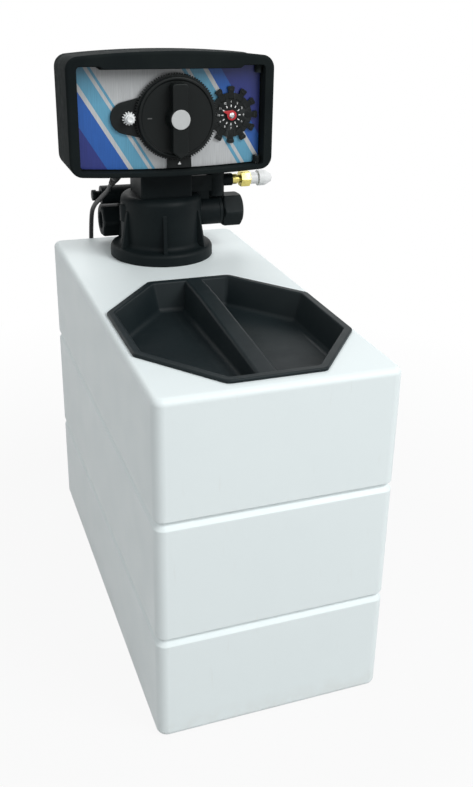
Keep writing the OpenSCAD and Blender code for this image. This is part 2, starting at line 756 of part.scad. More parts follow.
// Quarter circle of radius e inside a corner at radius r and height z
function eased_corner(r, z, e) = [for (a = [0:18:90]) [r - e * (1 - cos(a)), z - e * (1 - sin(a))]];
valve_profile = concat([[0, spigot_low], [spigot_r, spigot_low]],
    [[spigot_r, cabinet_h], [flange_r, cabinet_h]],
    eased_corner(flange_r, flange_top, flange_edge), [[column_r, flange_top]],
    eased_corner(column_r, column_top, shoulder_r), [[0, column_top]]);
rib_sink = 3;
rib_top = column_top - 2 * shoulder_r;
rib_outline = [[column_r - rib_sink, flange_top - 1], [flange_r - flange_edge, flange_top - 1],
    [column_r + 1, rib_top], [column_r - rib_sink, rib_top]];
boss_x = -column_r + 7;
boss_y = valve_y - 4;
boss_z = column_top - 10;
boss_h = 20;
boss_r = 10;
boss_ease = 3;
rear_port_x = 18;
valve_bore_r = riser_r - riser_wall;
module valve_body() color(black) difference() {
    union() {
        translate([0, valve_y, 0]) rotate_extrude() polygon(valve_profile);
        translate([-neck_w / 2, valve_y - neck_d / 2, column_top - shoulder_r])
            cube([neck_w, neck_d, neck_top - column_top + shoulder_r]);
        for (i = [0:rib_count - 1])
            let (a = rib_angle + 360 * i / rib_count)
            if (sin(a) < 0.7)
                translate([0, valve_y, 0]) rotate([0, 0, a])
                    translate([0, rib_t / 2, 0]) rotate([90, 0, 0]) linear_extrude(rib_t)
                        polygon(rib_outline);
        x_bar(valve_y, drain_z, drain_r, 0, arm_end);
        translate([-port_half, valve_y, flange_top - 1])
            cube([2 * port_half, bypass_face - valve_y, 2 * (port_z - flange_top) + 8]);
        z_bar(boss_x, boss_y, boss_r, boss_z - boss_h, boss_z);
        translate([boss_x, boss_y, boss_z]) cylinder(r1 = boss_r, r2 = boss_r - boss_ease, h = boss_ease);
    }
    z_bar(0, valve_y, stack_r, stack_z, neck_top + cut);
    z_bar(0, valve_y, riser_r + run_gap, spigot_low - cut, riser_high);
    z_bar(0, valve_y, valve_bore_r, riser_high - cut, stack_z + cut);
    x_bar(valve_y, drain_z, drain_bore_r, 0, arm_end + cut);
    for (x = [-rear_port_x, rear_port_x])
        y_bar(x, port_z, drain_bore_r, valve_y + stack_r / 2, bypass_face + cut);
    x_bar(brine_y, brine_way_z, brine_way_r, 0, neck_w / 2 + cut);
}

// Height of seal i in the stack
function seal_at(i) = stack_z + i * (seal_h + spacer_h);

module seal_spacers() color(white) {
    for (i = [0:seal_count - 2])
        z_ring(0, valve_y, stack_r - run_gap, piston_r + 2, seal_at(i) + seal_h, seal_at(i + 1));
    z_ring(0, valve_y, stack_r - run_gap, rod_r + 2 * run_gap, stack_top, stack_top + end_plug_h);
}

module piston_seals() color("#3a2a24") for (i = [0:seal_count - 1])
    z_ring(0, valve_y, stack_r - run_gap, piston_r + seat_gap, seal_at(i), seal_at(i) + seal_h);

yoke_z = dial_z - crank_r;
yoke_half_h = 8;
slot_half = crank_r + crank_pin_r + 1;
slot_half_h = crank_pin_r + 1;
yoke_half = slot_half + 4;
waist_h = piston_h / 4;
waist_r = piston_r - 4;
waist_slope = 2;
module piston() color(silver) {
    translate([0, valve_y, piston_z]) rotate_extrude()
        polygon([[0, 0], [piston_r, 0], [piston_r, waist_h], [waist_r, waist_h + waist_slope],
            [waist_r, piston_h - waist_h - waist_slope], [piston_r, piston_h - waist_h],
            [piston_r, piston_h], [0, piston_h]]);
    z_bar(0, valve_y, rod_r, piston_z + piston_h - cut, yoke_z - slot_half_h);
    translate([dial_x, yoke_front, yoke_z]) difference() {
        translate([-yoke_half, 0, -yoke_half_h]) cube([2 * yoke_half, yoke_t, 2 * yoke_half_h]);
        translate([-slot_half, -cut, -slot_half_h]) cube([2 * slot_half, yoke_t + 2 * cut, 2 * slot_half_h]);
    }
}

module drain_tailpiece() color(black) difference() {
    union() {
        x_bar(valve_y, drain_z, drain_r, arm_end, arm_end + 4);
        x_bar(valve_y, drain_z, tail_r, arm_end, drain_step);
    }
    x_bar(valve_y, drain_z, drain_bore_r, arm_end - cut, drain_reach);
}

// Union nut from x0 to x1 with a wider bore for the user's pipe in the half at its open end
module union_nut(y, z, x0, x1, pipe_x0, pipe_x1) {
    difference() {
        x_nut(y, z, nut_flats, x0, x1, tail_r + seat_gap);
        x_bar(y, z, nut_bore_r, pipe_x0, pipe_x1);
    }
}

nut_end = bypass_w / 2 + 1;
nut_step = nut_end - pipe_depth;
drain_step = drain_reach - pipe_depth;
module union_nuts() color(black) {
    union_nut(valve_y, drain_z, drain_reach - nut_len, drain_reach, drain_step, drain_reach + cut);
    union_nut(bypass_y, port_z, port_half, nut_end, nut_step, nut_end + cut);
    union_nut(bypass_y, port_z, -nut_end, -port_half, -nut_end - cut, -nut_step);
}

module bypass_body() color(black) difference() {
    union() {
        translate([-port_half, bypass_face, cabinet_h + flange_h + 1])
            cube([2 * port_half, bypass_d, spool_lift - flange_h - 1]);
        x_bar(bypass_y, spool_z, spool_housing_r, -bypass_w / 2, bypass_w / 2);
        x_bar(bypass_y, port_z, tail_r, -nut_step, nut_step);
    }
    x_bar(bypass_y, spool_z, spool_r + run_gap, -bypass_w, bypass_w);
    for (x = [-rear_port_x, rear_port_x])
        y_bar(x, port_z, drain_bore_r, bypass_face - cut, bypass_y);
    x_bar(bypass_y, port_z, drain_bore_r, rear_port_x, bypass_w);
    x_bar(bypass_y, port_z, drain_bore_r, -bypass_w, -rear_port_x);
}

spool_half = bypass_w / 2 + spool_travel + 0.5;
module bypass_spool() color(black) {
    x_bar(bypass_y, spool_z, spool_r, -spool_half, spool_half);
    x_bar(bypass_y, spool_z, spool_r + 1.5, spool_half, spool_half + knob_len);
    x_bar(bypass_y, spool_z, spool_r + 1.5, -spool_half - knob_len, -spool_half);
}

bridge_d = 16;
bridge_z = column_top + seat_gap;
socket_r = brass_r + 2.7;
module brine_valve_body() color(black) difference() {
    union() {
        z_bar(brine_x, brine_y, brine_boss_r, brine_bottom, brine_top);
        translate([neck_w / 2, brine_y - bridge_d / 2, bridge_z])
            cube([brine_x - neck_w / 2, bridge_d, brine_z + 8 - bridge_z]);
        x_bar(brine_y, brine_z, socket_r, brine_x, socket_end);
    }
    z_bar(brine_x, brine_y, brine_bore_r, brine_bottom + 4, spring_z - spring_seat_t);
    z_bar(brine_x, brine_y, stem_r + 2 * run_gap, brine_bottom + 5, brine_top);
    z_bar(brine_x, brine_y, brine_bore_r, spring_z, brine_top + cut);
    x_bar(brine_y, brine_z, brass_r + run_gap, brass_start - cut, socket_end + cut);
    x_bar(brine_y, brine_z, brine_way_r, brine_x, socket_end);
    x_bar(brine_y, brine_way_z, brine_way_r, neck_w / 2 - cut, brine_x);
}

collar_z = spring_z + spring_h;
collar_t = 2;
module brine_stem() color(white) {
    z_bar(brine_x, brine_y, stem_r, stem_low, neck_top + 10);
    z_bar(brine_x, brine_y, collar_r, stem_low, stem_low + collar_t);
    z_bar(brine_x, brine_y, collar_r, collar_z, collar_z + collar_t);
}

curl_rings = 8;
spring_rings = curl_rings * spring_turns;
spring_rise = (spring_h - 2 * spring_wire_r) / spring_rings;
spring_path = [for (i = [0:spring_rings]) let (a = 360 * i / curl_rings)
    [brine_x + spring_r * cos(a), brine_y + spring_r * sin(a), spring_z + spring_wire_r + spring_rise * i]];
echo(least_spring_gap = least_gap(spring_path, 2 * spring_wire_r, curl_rings - 2));
module brine_spring() color(silver) tube(spring_path, [0, 0, 1], spring_wire_r, 6);

brass_start = brine_x + brine_boss_r - 1;
brass_nut_x = socket_end + 10;
brass_nut_len = 12.5;
cap_x = brass_nut_x + brass_nut_len;
cap_stem_len = 10;
module brass_tube() color(brass) x_bar(brine_y, brine_z, brass_r, brass_start, cap_x + 5);

module brass_nut() color(brass) x_nut(brine_y, brine_z, brass_flats, brass_nut_x, cap_x, brass_r + run_gap);

module brine_end_cap() color(white) difference() {
    translate([cap_x, brine_y, brine_z]) rotate([0, 90, 0]) rotate_extrude()
        polygon(concat([[0, 0], [cap_r - 2.4, 0], [cap_r - 2.4, cap_stem_len], [cap_r, cap_stem_len + 1]],
            [for (a = [0:15:75]) [cap_r * cos(a), cap_stem_len + cap_len / 2 + cap_len / 2 * sin(a)]],
            [[0, cap_stem_len + cap_len]]));
    x_bar(brine_y, brine_z, brass_r + run_gap, cap_x - cut, cap_x + 5);
}

rim_ease = 5;
module head_frame() color(black) difference() {
    union() {
        hull() {
            upright_plate(head_outline(0), head_front + rim_ease + 1.5, head_front + rim_ease + 2);
            upright_plate(head_outline(0, head_fall), frame_back - 1, frame_back);
        }
        hull() {
            upright_plate(head_outline(rim_ease), head_front, head_front + 0.5);
            upright_plate(head_outline(0), head_front + rim_ease + 1.5, head_front + rim_ease + 2);
        }
    }
    upright_plate(window_outline(0), head_front - cut, panel_back + 2 * cut);
    hull() {
        upright_plate(head_outline(head_wall), panel_back + cut, panel_back + 2 * cut);
        upright_plate(head_outline(head_wall, head_fall), frame_back - 1, frame_back + cut);
    }
    valve_openings();
    z_bar(gland_root[0], gland_root[1], gland_r + run_gap, head_z - cut, head_z + head_wall + head_bow + cut);
    z_bar(hinge_x, hinge_y, hinge_pin_r + run_gap, hinge_low - pin_seat, hinge_low + cut);
    z_bar(hinge_x, hinge_y, hinge_pin_r + run_gap, window_top - cut, window_top + pin_seat);
}

// Openings in the head's underside for the valve's neck and the brine stem
module valve_openings() {
    depth = head_wall + head_bow + 2 * cut;
    translate([-neck_w / 2 - 1, valve_y - neck_d / 2 - 1, head_z - cut])
        cube([neck_w + 2, neck_d + 2, depth]);
    z_bar(brine_x, brine_y, stem_r + 1, head_z - cut, head_z - cut + depth);
}

cover_taper = 8;
cover_inside = cover_back - head_wall;
module rear_cover() color(black) difference() {
    hull() {
        upright_plate(head_outline(0, head_fall), frame_back, frame_back + cover_d / 3);
        upright_plate(head_outline(cover_taper, head_fall), cover_back - 1, cover_back);
    }
    hull() {
        upright_plate(head_outline(head_wall, head_fall), frame_back - cut, frame_back + cover_d / 3);
        upright_plate(head_outline(cover_taper + head_wall, head_fall), cover_inside - 1, cover_inside);
    }
    valve_openings();
    for (p = cover_posts)
        y_bar(p[0], p[1], screw_r + run_gap, cover_back - 2 * head_wall, cover_back + cut);
}

module back_plate() color(soft_black) difference() {
    union() {
        upright_plate(head_outline(head_wall + seat_gap, head_fall), plate_front, plate_back);
        y_bar(dial_x, dial_z, hub_r + 5, plate_front - 3, plate_back);
        translate([-neck_w / 2 + 2, plate_back - cut, neck_top])
            cube([neck_w - 4, valve_y + neck_d / 2 - 2 - plate_back + cut, plate_t]);
        for (p = cover_posts)
            y_bar(p[0], p[1], post_r, plate_back, cover_inside);
    }
    y_bar(dial_x, dial_z, hub_r + run_gap, plate_front - 3 - cut, plate_back + cut);
    z_bar(0, valve_y, rod_r + 2, neck_top - cut, neck_top + plate_t + cut);
    for (p = cover_posts)
        y_bar(p[0], p[1], screw_r + run_gap, cover_inside - screw_len - cut, cover_back);
}

screw_head_r = 4;
screw_head_t = 2.4;
module cover_screws() color(silver) for (p = cover_posts) {
    y_bar(p[0], p[1], screw_r, cover_inside - screw_len, cover_back);
    y_bar(p[0], p[1], screw_head_r, cover_back, cover_back + screw_head_t);
}

hub_front = plate_front - 5;
tongue_w = 3;
tongue_depth = 2;
module main_gear() color(white) difference() {
    union() {
        y_gear(dial_x, dial_z, main_teeth, drive_module, main_gear_y, main_gear_y + main_gear_t);
        y_bar(dial_x, dial_z, hub_r, hub_front, main_gear_y + cut);
        y_bar(dial_x, yoke_z, crank_pin_r, main_gear_y + main_gear_t - cut, yoke_front - 0.5);
    }
    translate([dial_x - tongue_w / 2 - 0.5, hub_front - cut, dial_z - hub_r - cut])
        cube([tongue_w + 1, cut + tongue_depth + 1, 2 * hub_r + 2 * cut]);
}

motor_front = main_gear_y + main_gear_t + 4;
motor_len = 22;
motor_shaft_r = 2;
module drive_motor() color(silver) {
    y_bar(motor_x, motor_z, motor_r, motor_front, motor_front + motor_len);
    y_bar(motor_x, motor_z, motor_shaft_r, main_gear_y, motor_front + cut);
    for (s = [-1, 1])
        y_bar(motor_x, motor_z + s * (motor_r - 4), 3.5, plate_back, motor_front + cut);
}

module motor_pinion() color(white) difference() {
    y_gear(motor_x, motor_z, motor_teeth, drive_module, main_gear_y, main_gear_y + main_gear_t,
        motor_angle + 180 + 180 / motor_teeth);
    y_bar(motor_x, motor_z, motor_shaft_r + run_gap, main_gear_y - cut, main_gear_y + main_gear_t + cut);
}

module hinge_pins() color(silver) {
    z_bar(hinge_x, hinge_y, hinge_pin_r, hinge_low - pin_seat, hinge_low + panel_gap + knuckle_h);
    z_bar(hinge_x, hinge_y, hinge_pin_r, window_top - panel_gap - knuckle_h, window_top + pin_seat);
}

knuckle_zs = [hinge_low + panel_gap, window_top - panel_gap - knuckle_h];
wheel_post_r = 4;
wheel_screw_r = 1.5;
module timer_panel() color(black) difference() {
    union() {
        upright_plate(window_outline(panel_gap), panel_front, panel_back);
        for (z = knuckle_zs) {
            z_bar(hinge_x, hinge_y, knuckle_r, z, z + knuckle_h);
            translate([hinge_x - knuckle_r, hinge_y, z])
                cube([2 * knuckle_r, panel_front - hinge_y + cut, knuckle_h]);
        }
        y_bar(wheel_x, wheel_z, wheel_post_r, post_front, panel_front + cut);
    }
    y_bar(dial_x, dial_z, shaft_r + run_gap, panel_front - cut, panel_back + cut);
    y_bar(pinion_x, dial_z, motor_shaft_r + run_gap, panel_front - cut, panel_back + cut);
    y_bar(wheel_x, wheel_z, wheel_screw_r + run_gap, post_front - cut, panel_front + 1);
    z_bar(hinge_x, hinge_y, hinge_pin_r + run_gap, window_z, window_top);
}

module face_label() color(silver) difference() {
    upright_plate(window_outline(panel_gap + 0.7), label_front, panel_front);
    y_bar(dial_x, dial_z, shaft_r + 1, label_front - cut, panel_front + cut);
    y_bar(pinion_x, dial_z, motor_shaft_r + 1, label_front - cut, panel_front + cut);
    y_bar(wheel_x, wheel_z, wheel_post_r + seat_gap, label_front - cut, panel_front + cut);
    for (z = knuckle_zs)
        translate([hinge_x - knuckle_r - seat_gap, label_front - cut, z - cut])
            cube([2 * knuckle_r + 4, 2 * cut + label_t, knuckle_h + 2 * cut]);
}

base_disc_r = 17;
base_disc_x = pinion_x - 2.2;
base_r = 30;
foot_x = dial_x + 4;
foot_low = window_z + panel_gap + 1;
foot_top = dial_z - base_r + 8;
base_foot = [[foot_x - 12, foot_top], [foot_x - 14, foot_low], [foot_x + 14, foot_low],
    [foot_x + 12, foot_top]];
module dial_base() color(black) difference() {
    union() {
        hull() {
            y_bar(base_disc_x, dial_z, base_disc_r, base_front, label_front);
            y_bar(dial_x, dial_z, base_r, base_front, label_front);
        }
        upright_plate(base_foot, base_front, label_front);
        y_bar(dial_x, dial_z, sleeve_r, gear_front, base_front + cut);
    }
    y_bar(dial_x, dial_z, shaft_r + run_gap, gear_front - cut, label_front + cut);
    y_bar(pinion_x, dial_z, motor_shaft_r + run_gap, base_front - cut, label_front + cut);
}

timer_motor_len = 16;
recess_back = gear_front + button_travel + 0.1;
module timer_motor() color(silver) {
    y_bar(pinion_x, dial_z, timer_motor_r, panel_back, panel_back + timer_motor_len);
    y_bar(pinion_x, dial_z, motor_shaft_r, recess_back + 0.1, panel_back + cut);
}

module clock_gear() color(black) difference() {
    y_gear(dial_x, dial_z, clock_teeth, clock_module, gear_front, gear_back);
    y_bar(dial_x, dial_z, sleeve_r + run_gap, gear_front - cut, gear_back + cut);
}

button_collar = 4;
module clock_pinion() color(white) difference() {
    union() {
        y_gear(pinion_x, dial_z, pinion_teeth, clock_module, gear_front, gear_back, 180 / pinion_teeth);
        y_bar(pinion_x, dial_z, button_r + 1.2, gear_front - button_collar, gear_front + cut);
    }
    y_bar(pinion_x, dial_z, button_r + run_gap, gear_front - button_collar - cut, recess_back);
    y_bar(pinion_x, dial_z, motor_shaft_r + run_gap, gear_front, gear_back + cut);
}

module time_set_button() color(white) {
    y_bar(pinion_x, dial_z, button_r, gear_front - button_collar - button_travel - 1, gear_front);
}

knob_rim_w = 3;
knob_rim_t = 1.2;
hub_play = 1;
grip_top = dial_z + knob_r - 6;
grip_low = dial_z - knob_r + 8;
grip_outline = [[dial_x - grip_w / 2, grip_top], [dial_x - grip_w / 2, grip_low],
    [dial_x, dial_z - knob_r + 1], [dial_x + grip_w / 2, grip_low], [dial_x + grip_w / 2, grip_top]];

// Grip bar and the round seat of the white disc, from the grip's front back to the plane y
module knob_grip(y) {
    upright_plate(grip_outline, grip_front, y);
    y_bar(dial_x, dial_z, disc_r + 1.2, grip_front, y);
}

module regen_knob() color(black) {
    difference() {
        y_bar(dial_x, dial_z, knob_r, knob_front, knob_back);
        y_bar(dial_x, dial_z, knob_r - knob_rim_w, knob_front - cut, knob_front + knob_rim_t);
    }
    knob_grip(knob_back - cut);
    y_bar(dial_x, dial_z, shaft_r, knob_back - cut, hub_front - hub_play);
    translate([dial_x - tongue_w / 2, hub_front - hub_play - cut, dial_z - shaft_r + 0.5])
        cube([tongue_w, cut + hub_play + tongue_depth, 2 * shaft_r - 1]);
}

disc_t = 0.8;
module knob_disc() color(white) y_bar(dial_x, dial_z, disc_r, grip_front - disc_t, grip_front);

program_r = 25;
program_t = 5;
program_y = panel_back + 1.5;
program_pin_r = 1.2;
program_pin_h = 3;
module program_wheel() color(white) difference() {
    pin_circle_r = program_r - 2.5 * program_pin_r;
    pin_end = program_y + program_t + program_pin_h;
    union() {
        y_bar(dial_x, dial_z, program_r, program_y, program_y + program_t);
        for (a = [0:36:324])
            y_bar(dial_x + pin_circle_r * cos(a), dial_z + pin_circle_r * sin(a), program_pin_r,
                program_y + cut, pin_end);
    }
    y_bar(dial_x, dial_z, shaft_r + run_gap, program_y - cut, program_y + program_t + cut);
}

// Angle of day i round the wheel
function day_angle(i) = 90 - 360 * (i - 1) / day_count;
// Points given along and across the direction of day i, placed on the wheel
function on_wheel(points, i) = let (c = cos(day_angle(i)), s = sin(day_angle(i)))
    [for (p = points) [wheel_x + p[0] * c - p[1] * s, wheel_z + p[0] * s + p[1] * c]];

tab_play = 0.15;
channel_root = tab_root_r - 0.5;
channel_half = tab_w / 2 + tab_play;
channel_outline = [[channel_root, -channel_half], [wheel_r + cut, -channel_half],
    [wheel_r + cut, channel_half], [channel_root, channel_half]];
module day_wheel() color(black) difference() {
    y_bar(wheel_x, wheel_z, wheel_r, wheel_front, wheel_back);
    y_bar(wheel_x, wheel_z, wheel_post_r + run_gap, wheel_front - cut, wheel_back + cut);
    for (i = [1:day_count])
        upright_plate(on_wheel(channel_outline, i), wheel_front - cut, wheel_front + tab_t + 0.2);
}

tab_flare = 1.2;
tab_bevel = 1.5;
tab_half = tab_w / 2;
tab_neck = wheel_r + 0.5;
tab_outline = [[tab_root_r, -tab_half], [tab_neck, -tab_half], [tab_tip_r - tab_bevel, -tab_half - tab_flare],
    [tab_tip_r, -tab_half], [tab_tip_r, tab_half], [tab_tip_r - tab_bevel, tab_half + tab_flare],
    [tab_neck, tab_half], [tab_root_r, tab_half]];
module day_tab(i) color(soft_black)
    upright_plate(on_wheel(tab_outline, i), wheel_front + 0.1, wheel_front + 0.1 + tab_t);

pointer_t = 1.5;
pointer_r = 5.5;
pointer_tip = [-pointer_r - 5, 4.5];
module day_pointer() color(red) difference() {
    union() {
        y_bar(wheel_x, wheel_z, pointer_r, post_front - pointer_t, post_front);
        translate([wheel_x, 0, wheel_z])
            upright_plate([[0, -pointer_r / 2], [0, pointer_r], pointer_tip],
                post_front - pointer_t, post_front);
    }
    y_bar(wheel_x, wheel_z, wheel_screw_r + run_gap, post_front - pointer_t - cut, post_front + cut);
}

wheel_head_r = 3.2;
wheel_head_t = 1.8;
module wheel_screw() color(silver) {
    head_back = post_front - pointer_t;
    y_bar(wheel_x, wheel_z, wheel_head_r, head_back - wheel_head_t, head_back);
    y_bar(wheel_x, wheel_z, wheel_screw_r, head_back - cut, panel_front);
}

gland_seat = head_z + head_wall + head_bow;
gland_flange_t = 3;
module cord_gland() color(black) {
    z_bar(gland_root[0], gland_root[1], gland_r, gland_root[2], gland_seat + gland_flange_t);
    z_bar(gland_root[0], gland_root[1], gland_r + 2.5, gland_seat, gland_seat + gland_flange_t);
    translate(gland_root) sphere(r = gland_r);
    translate(gland_root) rotate([0, acos(relief_axis[2]), atan2(relief_axis[1], relief_axis[0])])
        cylinder(r1 = gland_r - 0.5, r2 = relief_r, h = relief_len);
}

cord_path = concat([relief_end, relief_end + cord_d * relief_axis], cord_bends, cord_drop, cord_floor,
    [coil_entry - [cord_d, 0, 0], coil_entry]);
module power_cord() color(black) tube(cord_path, [0, 1, 0], cord_d / 2, cord_sides);

// Angle, radius and height along the coil: inwards on the low layer, outwards on the high one
coil_mid = -90 + 360 * coil_turns;
function coil_radius(a) = coil_inner_r + coil_pitch * abs(a - coil_mid) / 360;
function coil_climb(a) = let (k = max(0, min(1, (a - coil_mid + 90) / 180))) k * k * (3 - 2 * k);
coil_step = 360 / loop_rings;
function coil_point(a) = [coil_x + coil_radius(a) * cos(a), coil_y + coil_radius(a) * sin(a),
    coil_low_z + coil_pitch * coil_climb(a)];
coil_path = concat([coil_entry], [for (a = [-90:coil_step:coil_mid + 360 * coil_turns]) coil_point(a)],
    [coil_exit - [cord_d, 0, 0], coil_exit]);
echo(least_coil_gap = least_gap(coil_path, cord_d, 12));
module cord_coil() color(black) tube(coil_path, [0, 0, 1], cord_d / 2, coil_sides);

plug_edge = 4;
plug_pin_spread = 9.5;
relief_r = cord_d / 2 + 0.7;
module power_plug() color(black) {
    body_x = coil_exit[0] + plug_boot_len;
    pin_x = body_x + plug_len;
    corner_y = plug_w / 2 - plug_edge;
    corner_z = plug_h / 2 - plug_edge;
    translate(coil_exit) rotate([0, 90, 0])
        cylinder(r1 = relief_r, r2 = plug_h / 3, h = plug_boot_len + cut);
    translate([body_x, coil_exit[1], coil_exit[2]]) hull()
        for (x = [plug_edge, plug_len - plug_edge], y = [-corner_y, corner_y], z = [-corner_z, corner_z])
            translate([x, y, z]) sphere(r = plug_edge, $fn = 24);
    for (y = [-plug_pin_spread, plug_pin_spread])
        x_bar(coil_exit[1] + y, coil_exit[2], plug_pin_r, pin_x - cut, pin_x + plug_pin_len);
}

cabinet_shell();
salt_lid();
resin_tank();
riser_tube();
strainers();
salt_grid();
brine_well();
brine_pickup();
brine_float();
valve_body();
seal_spacers();
piston_seals();
piston();
drain_tailpiece();
union_nuts();
bypass_body();
bypass_spool();
brine_valve_body();
brine_stem();
brine_spring();
brass_tube();
brass_nut();
brine_end_cap();
head_frame();
rear_cover();
back_plate();
cover_screws();
main_gear();
drive_motor();
motor_pinion();
hinge_pins();
timer_panel();
face_label();
dial_base();
timer_motor();
clock_gear();
clock_pinion();
time_set_button();
regen_knob();
knob_disc();
program_wheel();
day_wheel();
day_pointer();
wheel_screw();
day_tab(1);  // day_tab_01
day_tab(2);  // day_tab_02
day_tab(3);  // day_tab_03
day_tab(4);  // day_tab_04
day_tab(5);  // day_tab_05
day_tab(6);  // day_tab_06
day_tab(7);  // day_tab_07
day_tab(8);  // day_tab_08
day_tab(9);  // day_tab_09
day_tab(10);  // day_tab_10
day_tab(11);  // day_tab_11
day_tab(12);  // day_tab_12
cord_gland();
power_cord();
cord_coil();
power_plug();
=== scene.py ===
"""Looks of a compact cabinet water softener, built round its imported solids.

Shapes are modelled in millimetres in the frame of the solids and become metres when a piece is made.
"""

import json
import logging
import math
from dataclasses import dataclass
from enum import Enum
from typing import Sequence

import bmesh
import bpy
from mathutils import Matrix, Quaternion, Vector

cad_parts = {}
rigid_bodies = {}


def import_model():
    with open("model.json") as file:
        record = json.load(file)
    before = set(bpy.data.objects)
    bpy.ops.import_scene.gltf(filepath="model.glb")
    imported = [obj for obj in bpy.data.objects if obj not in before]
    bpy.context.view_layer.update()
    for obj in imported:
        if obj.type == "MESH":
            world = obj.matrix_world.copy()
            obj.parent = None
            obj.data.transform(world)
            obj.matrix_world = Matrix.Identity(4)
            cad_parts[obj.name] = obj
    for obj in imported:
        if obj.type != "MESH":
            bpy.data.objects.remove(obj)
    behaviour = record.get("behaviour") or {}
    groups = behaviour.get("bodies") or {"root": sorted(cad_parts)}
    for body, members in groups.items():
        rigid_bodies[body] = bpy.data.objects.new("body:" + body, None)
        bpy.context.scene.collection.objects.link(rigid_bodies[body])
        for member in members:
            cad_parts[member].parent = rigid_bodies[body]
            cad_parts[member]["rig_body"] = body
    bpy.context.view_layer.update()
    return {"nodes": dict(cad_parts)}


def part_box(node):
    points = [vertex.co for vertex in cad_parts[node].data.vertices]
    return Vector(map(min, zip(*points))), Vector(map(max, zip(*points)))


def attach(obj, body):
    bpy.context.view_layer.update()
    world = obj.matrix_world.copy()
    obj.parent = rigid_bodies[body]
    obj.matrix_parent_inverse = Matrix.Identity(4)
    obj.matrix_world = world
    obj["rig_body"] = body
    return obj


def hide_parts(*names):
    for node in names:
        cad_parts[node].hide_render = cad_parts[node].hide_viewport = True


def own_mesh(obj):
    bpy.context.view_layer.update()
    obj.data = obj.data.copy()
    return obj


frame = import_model()
LOG = logging.getLogger("softener")
MM = 0.001
NEAR = 0.01
VALVE_Y = 155.0
Point = tuple[float, float]
Place = tuple[float, float, float]
Corner = tuple[float, float, float]
Colour = tuple[float, float, float]
Shape = bmesh.types.BMesh
Socket = bpy.types.NodeSocket
Material = bpy.types.Material
Piece = bpy.types.Object


class Slot(Enum):
    """Material slots that the record names."""

    CABINET_WHITE = "cabinet_white"
    LID_BLACK = "lid_black"
    VALVE_BLACK = "valve_black"
    HEAD_BLACK = "head_black"
    DIAL_BLACK = "dial_black"
    VESSEL_CREAM = "vessel_cream"
    INNER_WHITE = "inner_white"
    SEAL_RUBBER = "seal_rubber"
    BRASS = "brass"
    STEEL = "steel"
    LABEL_SILVER = "label_silver"
    POINTER_RED = "pointer_red"
    CAP_WHITE = "cap_white"
    CORD_BLACK = "cord_black"


class Axis(Enum):
    """Direction of a turned piece's axis."""

    X = "x"
    Y = "y"
    Z = "z"

    def matrix(self) -> Matrix:
        """Turn that brings the z axis to this axis."""
        if self is Axis.X:
            return Matrix.Rotation(math.pi / 2, 4, "Y")
        if self is Axis.Y:
            return Matrix.Rotation(-math.pi / 2, 4, "X")
        return Matrix.Identity(4)


class Join(Enum):
    """Ways of combining closed shapes."""

    UNION = "UNION"
    DIFFERENCE = "DIFFERENCE"


@dataclass(frozen=True)
class Span:
    """Lowest and highest corner of a solid at rest, in millimetres."""

    low: Vector
    high: Vector

    @staticmethod
    def of(node: str) -> "Span":
        """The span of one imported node."""
        low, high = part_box(node)
        return Span(low / MM, high / MM)

    @property
    def mid(self) -> Vector:
        """Middle of the span."""
        return (self.low + self.high) / 2

    @property
    def size(self) -> Vector:
        """Lengths of the span's sides."""
        return self.high - self.low


class NodeSheet:
    """Short forms for wiring the nodes of one tree."""

    def __init__(self, tree: bpy.types.NodeTree) -> None:
        """Starts on a tree."""
        self.tree = tree

    def node(self, kind: str, **settings: object) -> bpy.types.Node:
        """A new node of a kind, with its properties set."""
        made = self.tree.nodes.new(kind)
        for key, value in settings.items():
            setattr(made, key, value)
        return made

    def feed(self, socket: Socket, value: object) -> None:
        """Links a socket to an output, or sets it to a plain value."""
        if isinstance(value, Socket):
            self.tree.links.new(value, socket)
        else:
            socket.default_value = value

    def spread(self, value: Socket, source: Point, target: Point) -> Socket:
        """Maps a value from one span to another and stops it at the ends."""
        made = self.node("ShaderNodeMapRange", clamp=True)
        self.feed(made.inputs["Value"], value)
        for socket, number in zip(made.inputs[1:5], (*source, *target)):
            socket.default_value = number
        return made.outputs[0]

    def sum(self, kind: str, first: object, second: object) -> Socket:
        """What a Math node of one kind makes of two values."""
        made = self.node("ShaderNodeMath", operation=kind)
        self.feed(made.inputs[0], first)
        self.feed(made.inputs[1], second)
        return made.outputs[0]

    def shown(self) -> Socket:
        """Factor that is 1 for camera, glossy and transmission rays."""
        path = self.node("ShaderNodeLightPath").outputs
        direct = self.sum("MAXIMUM", path["Is Camera Ray"], path["Is Glossy Ray"])
        return self.sum("MAXIMUM", direct, path["Is Transmission Ray"])


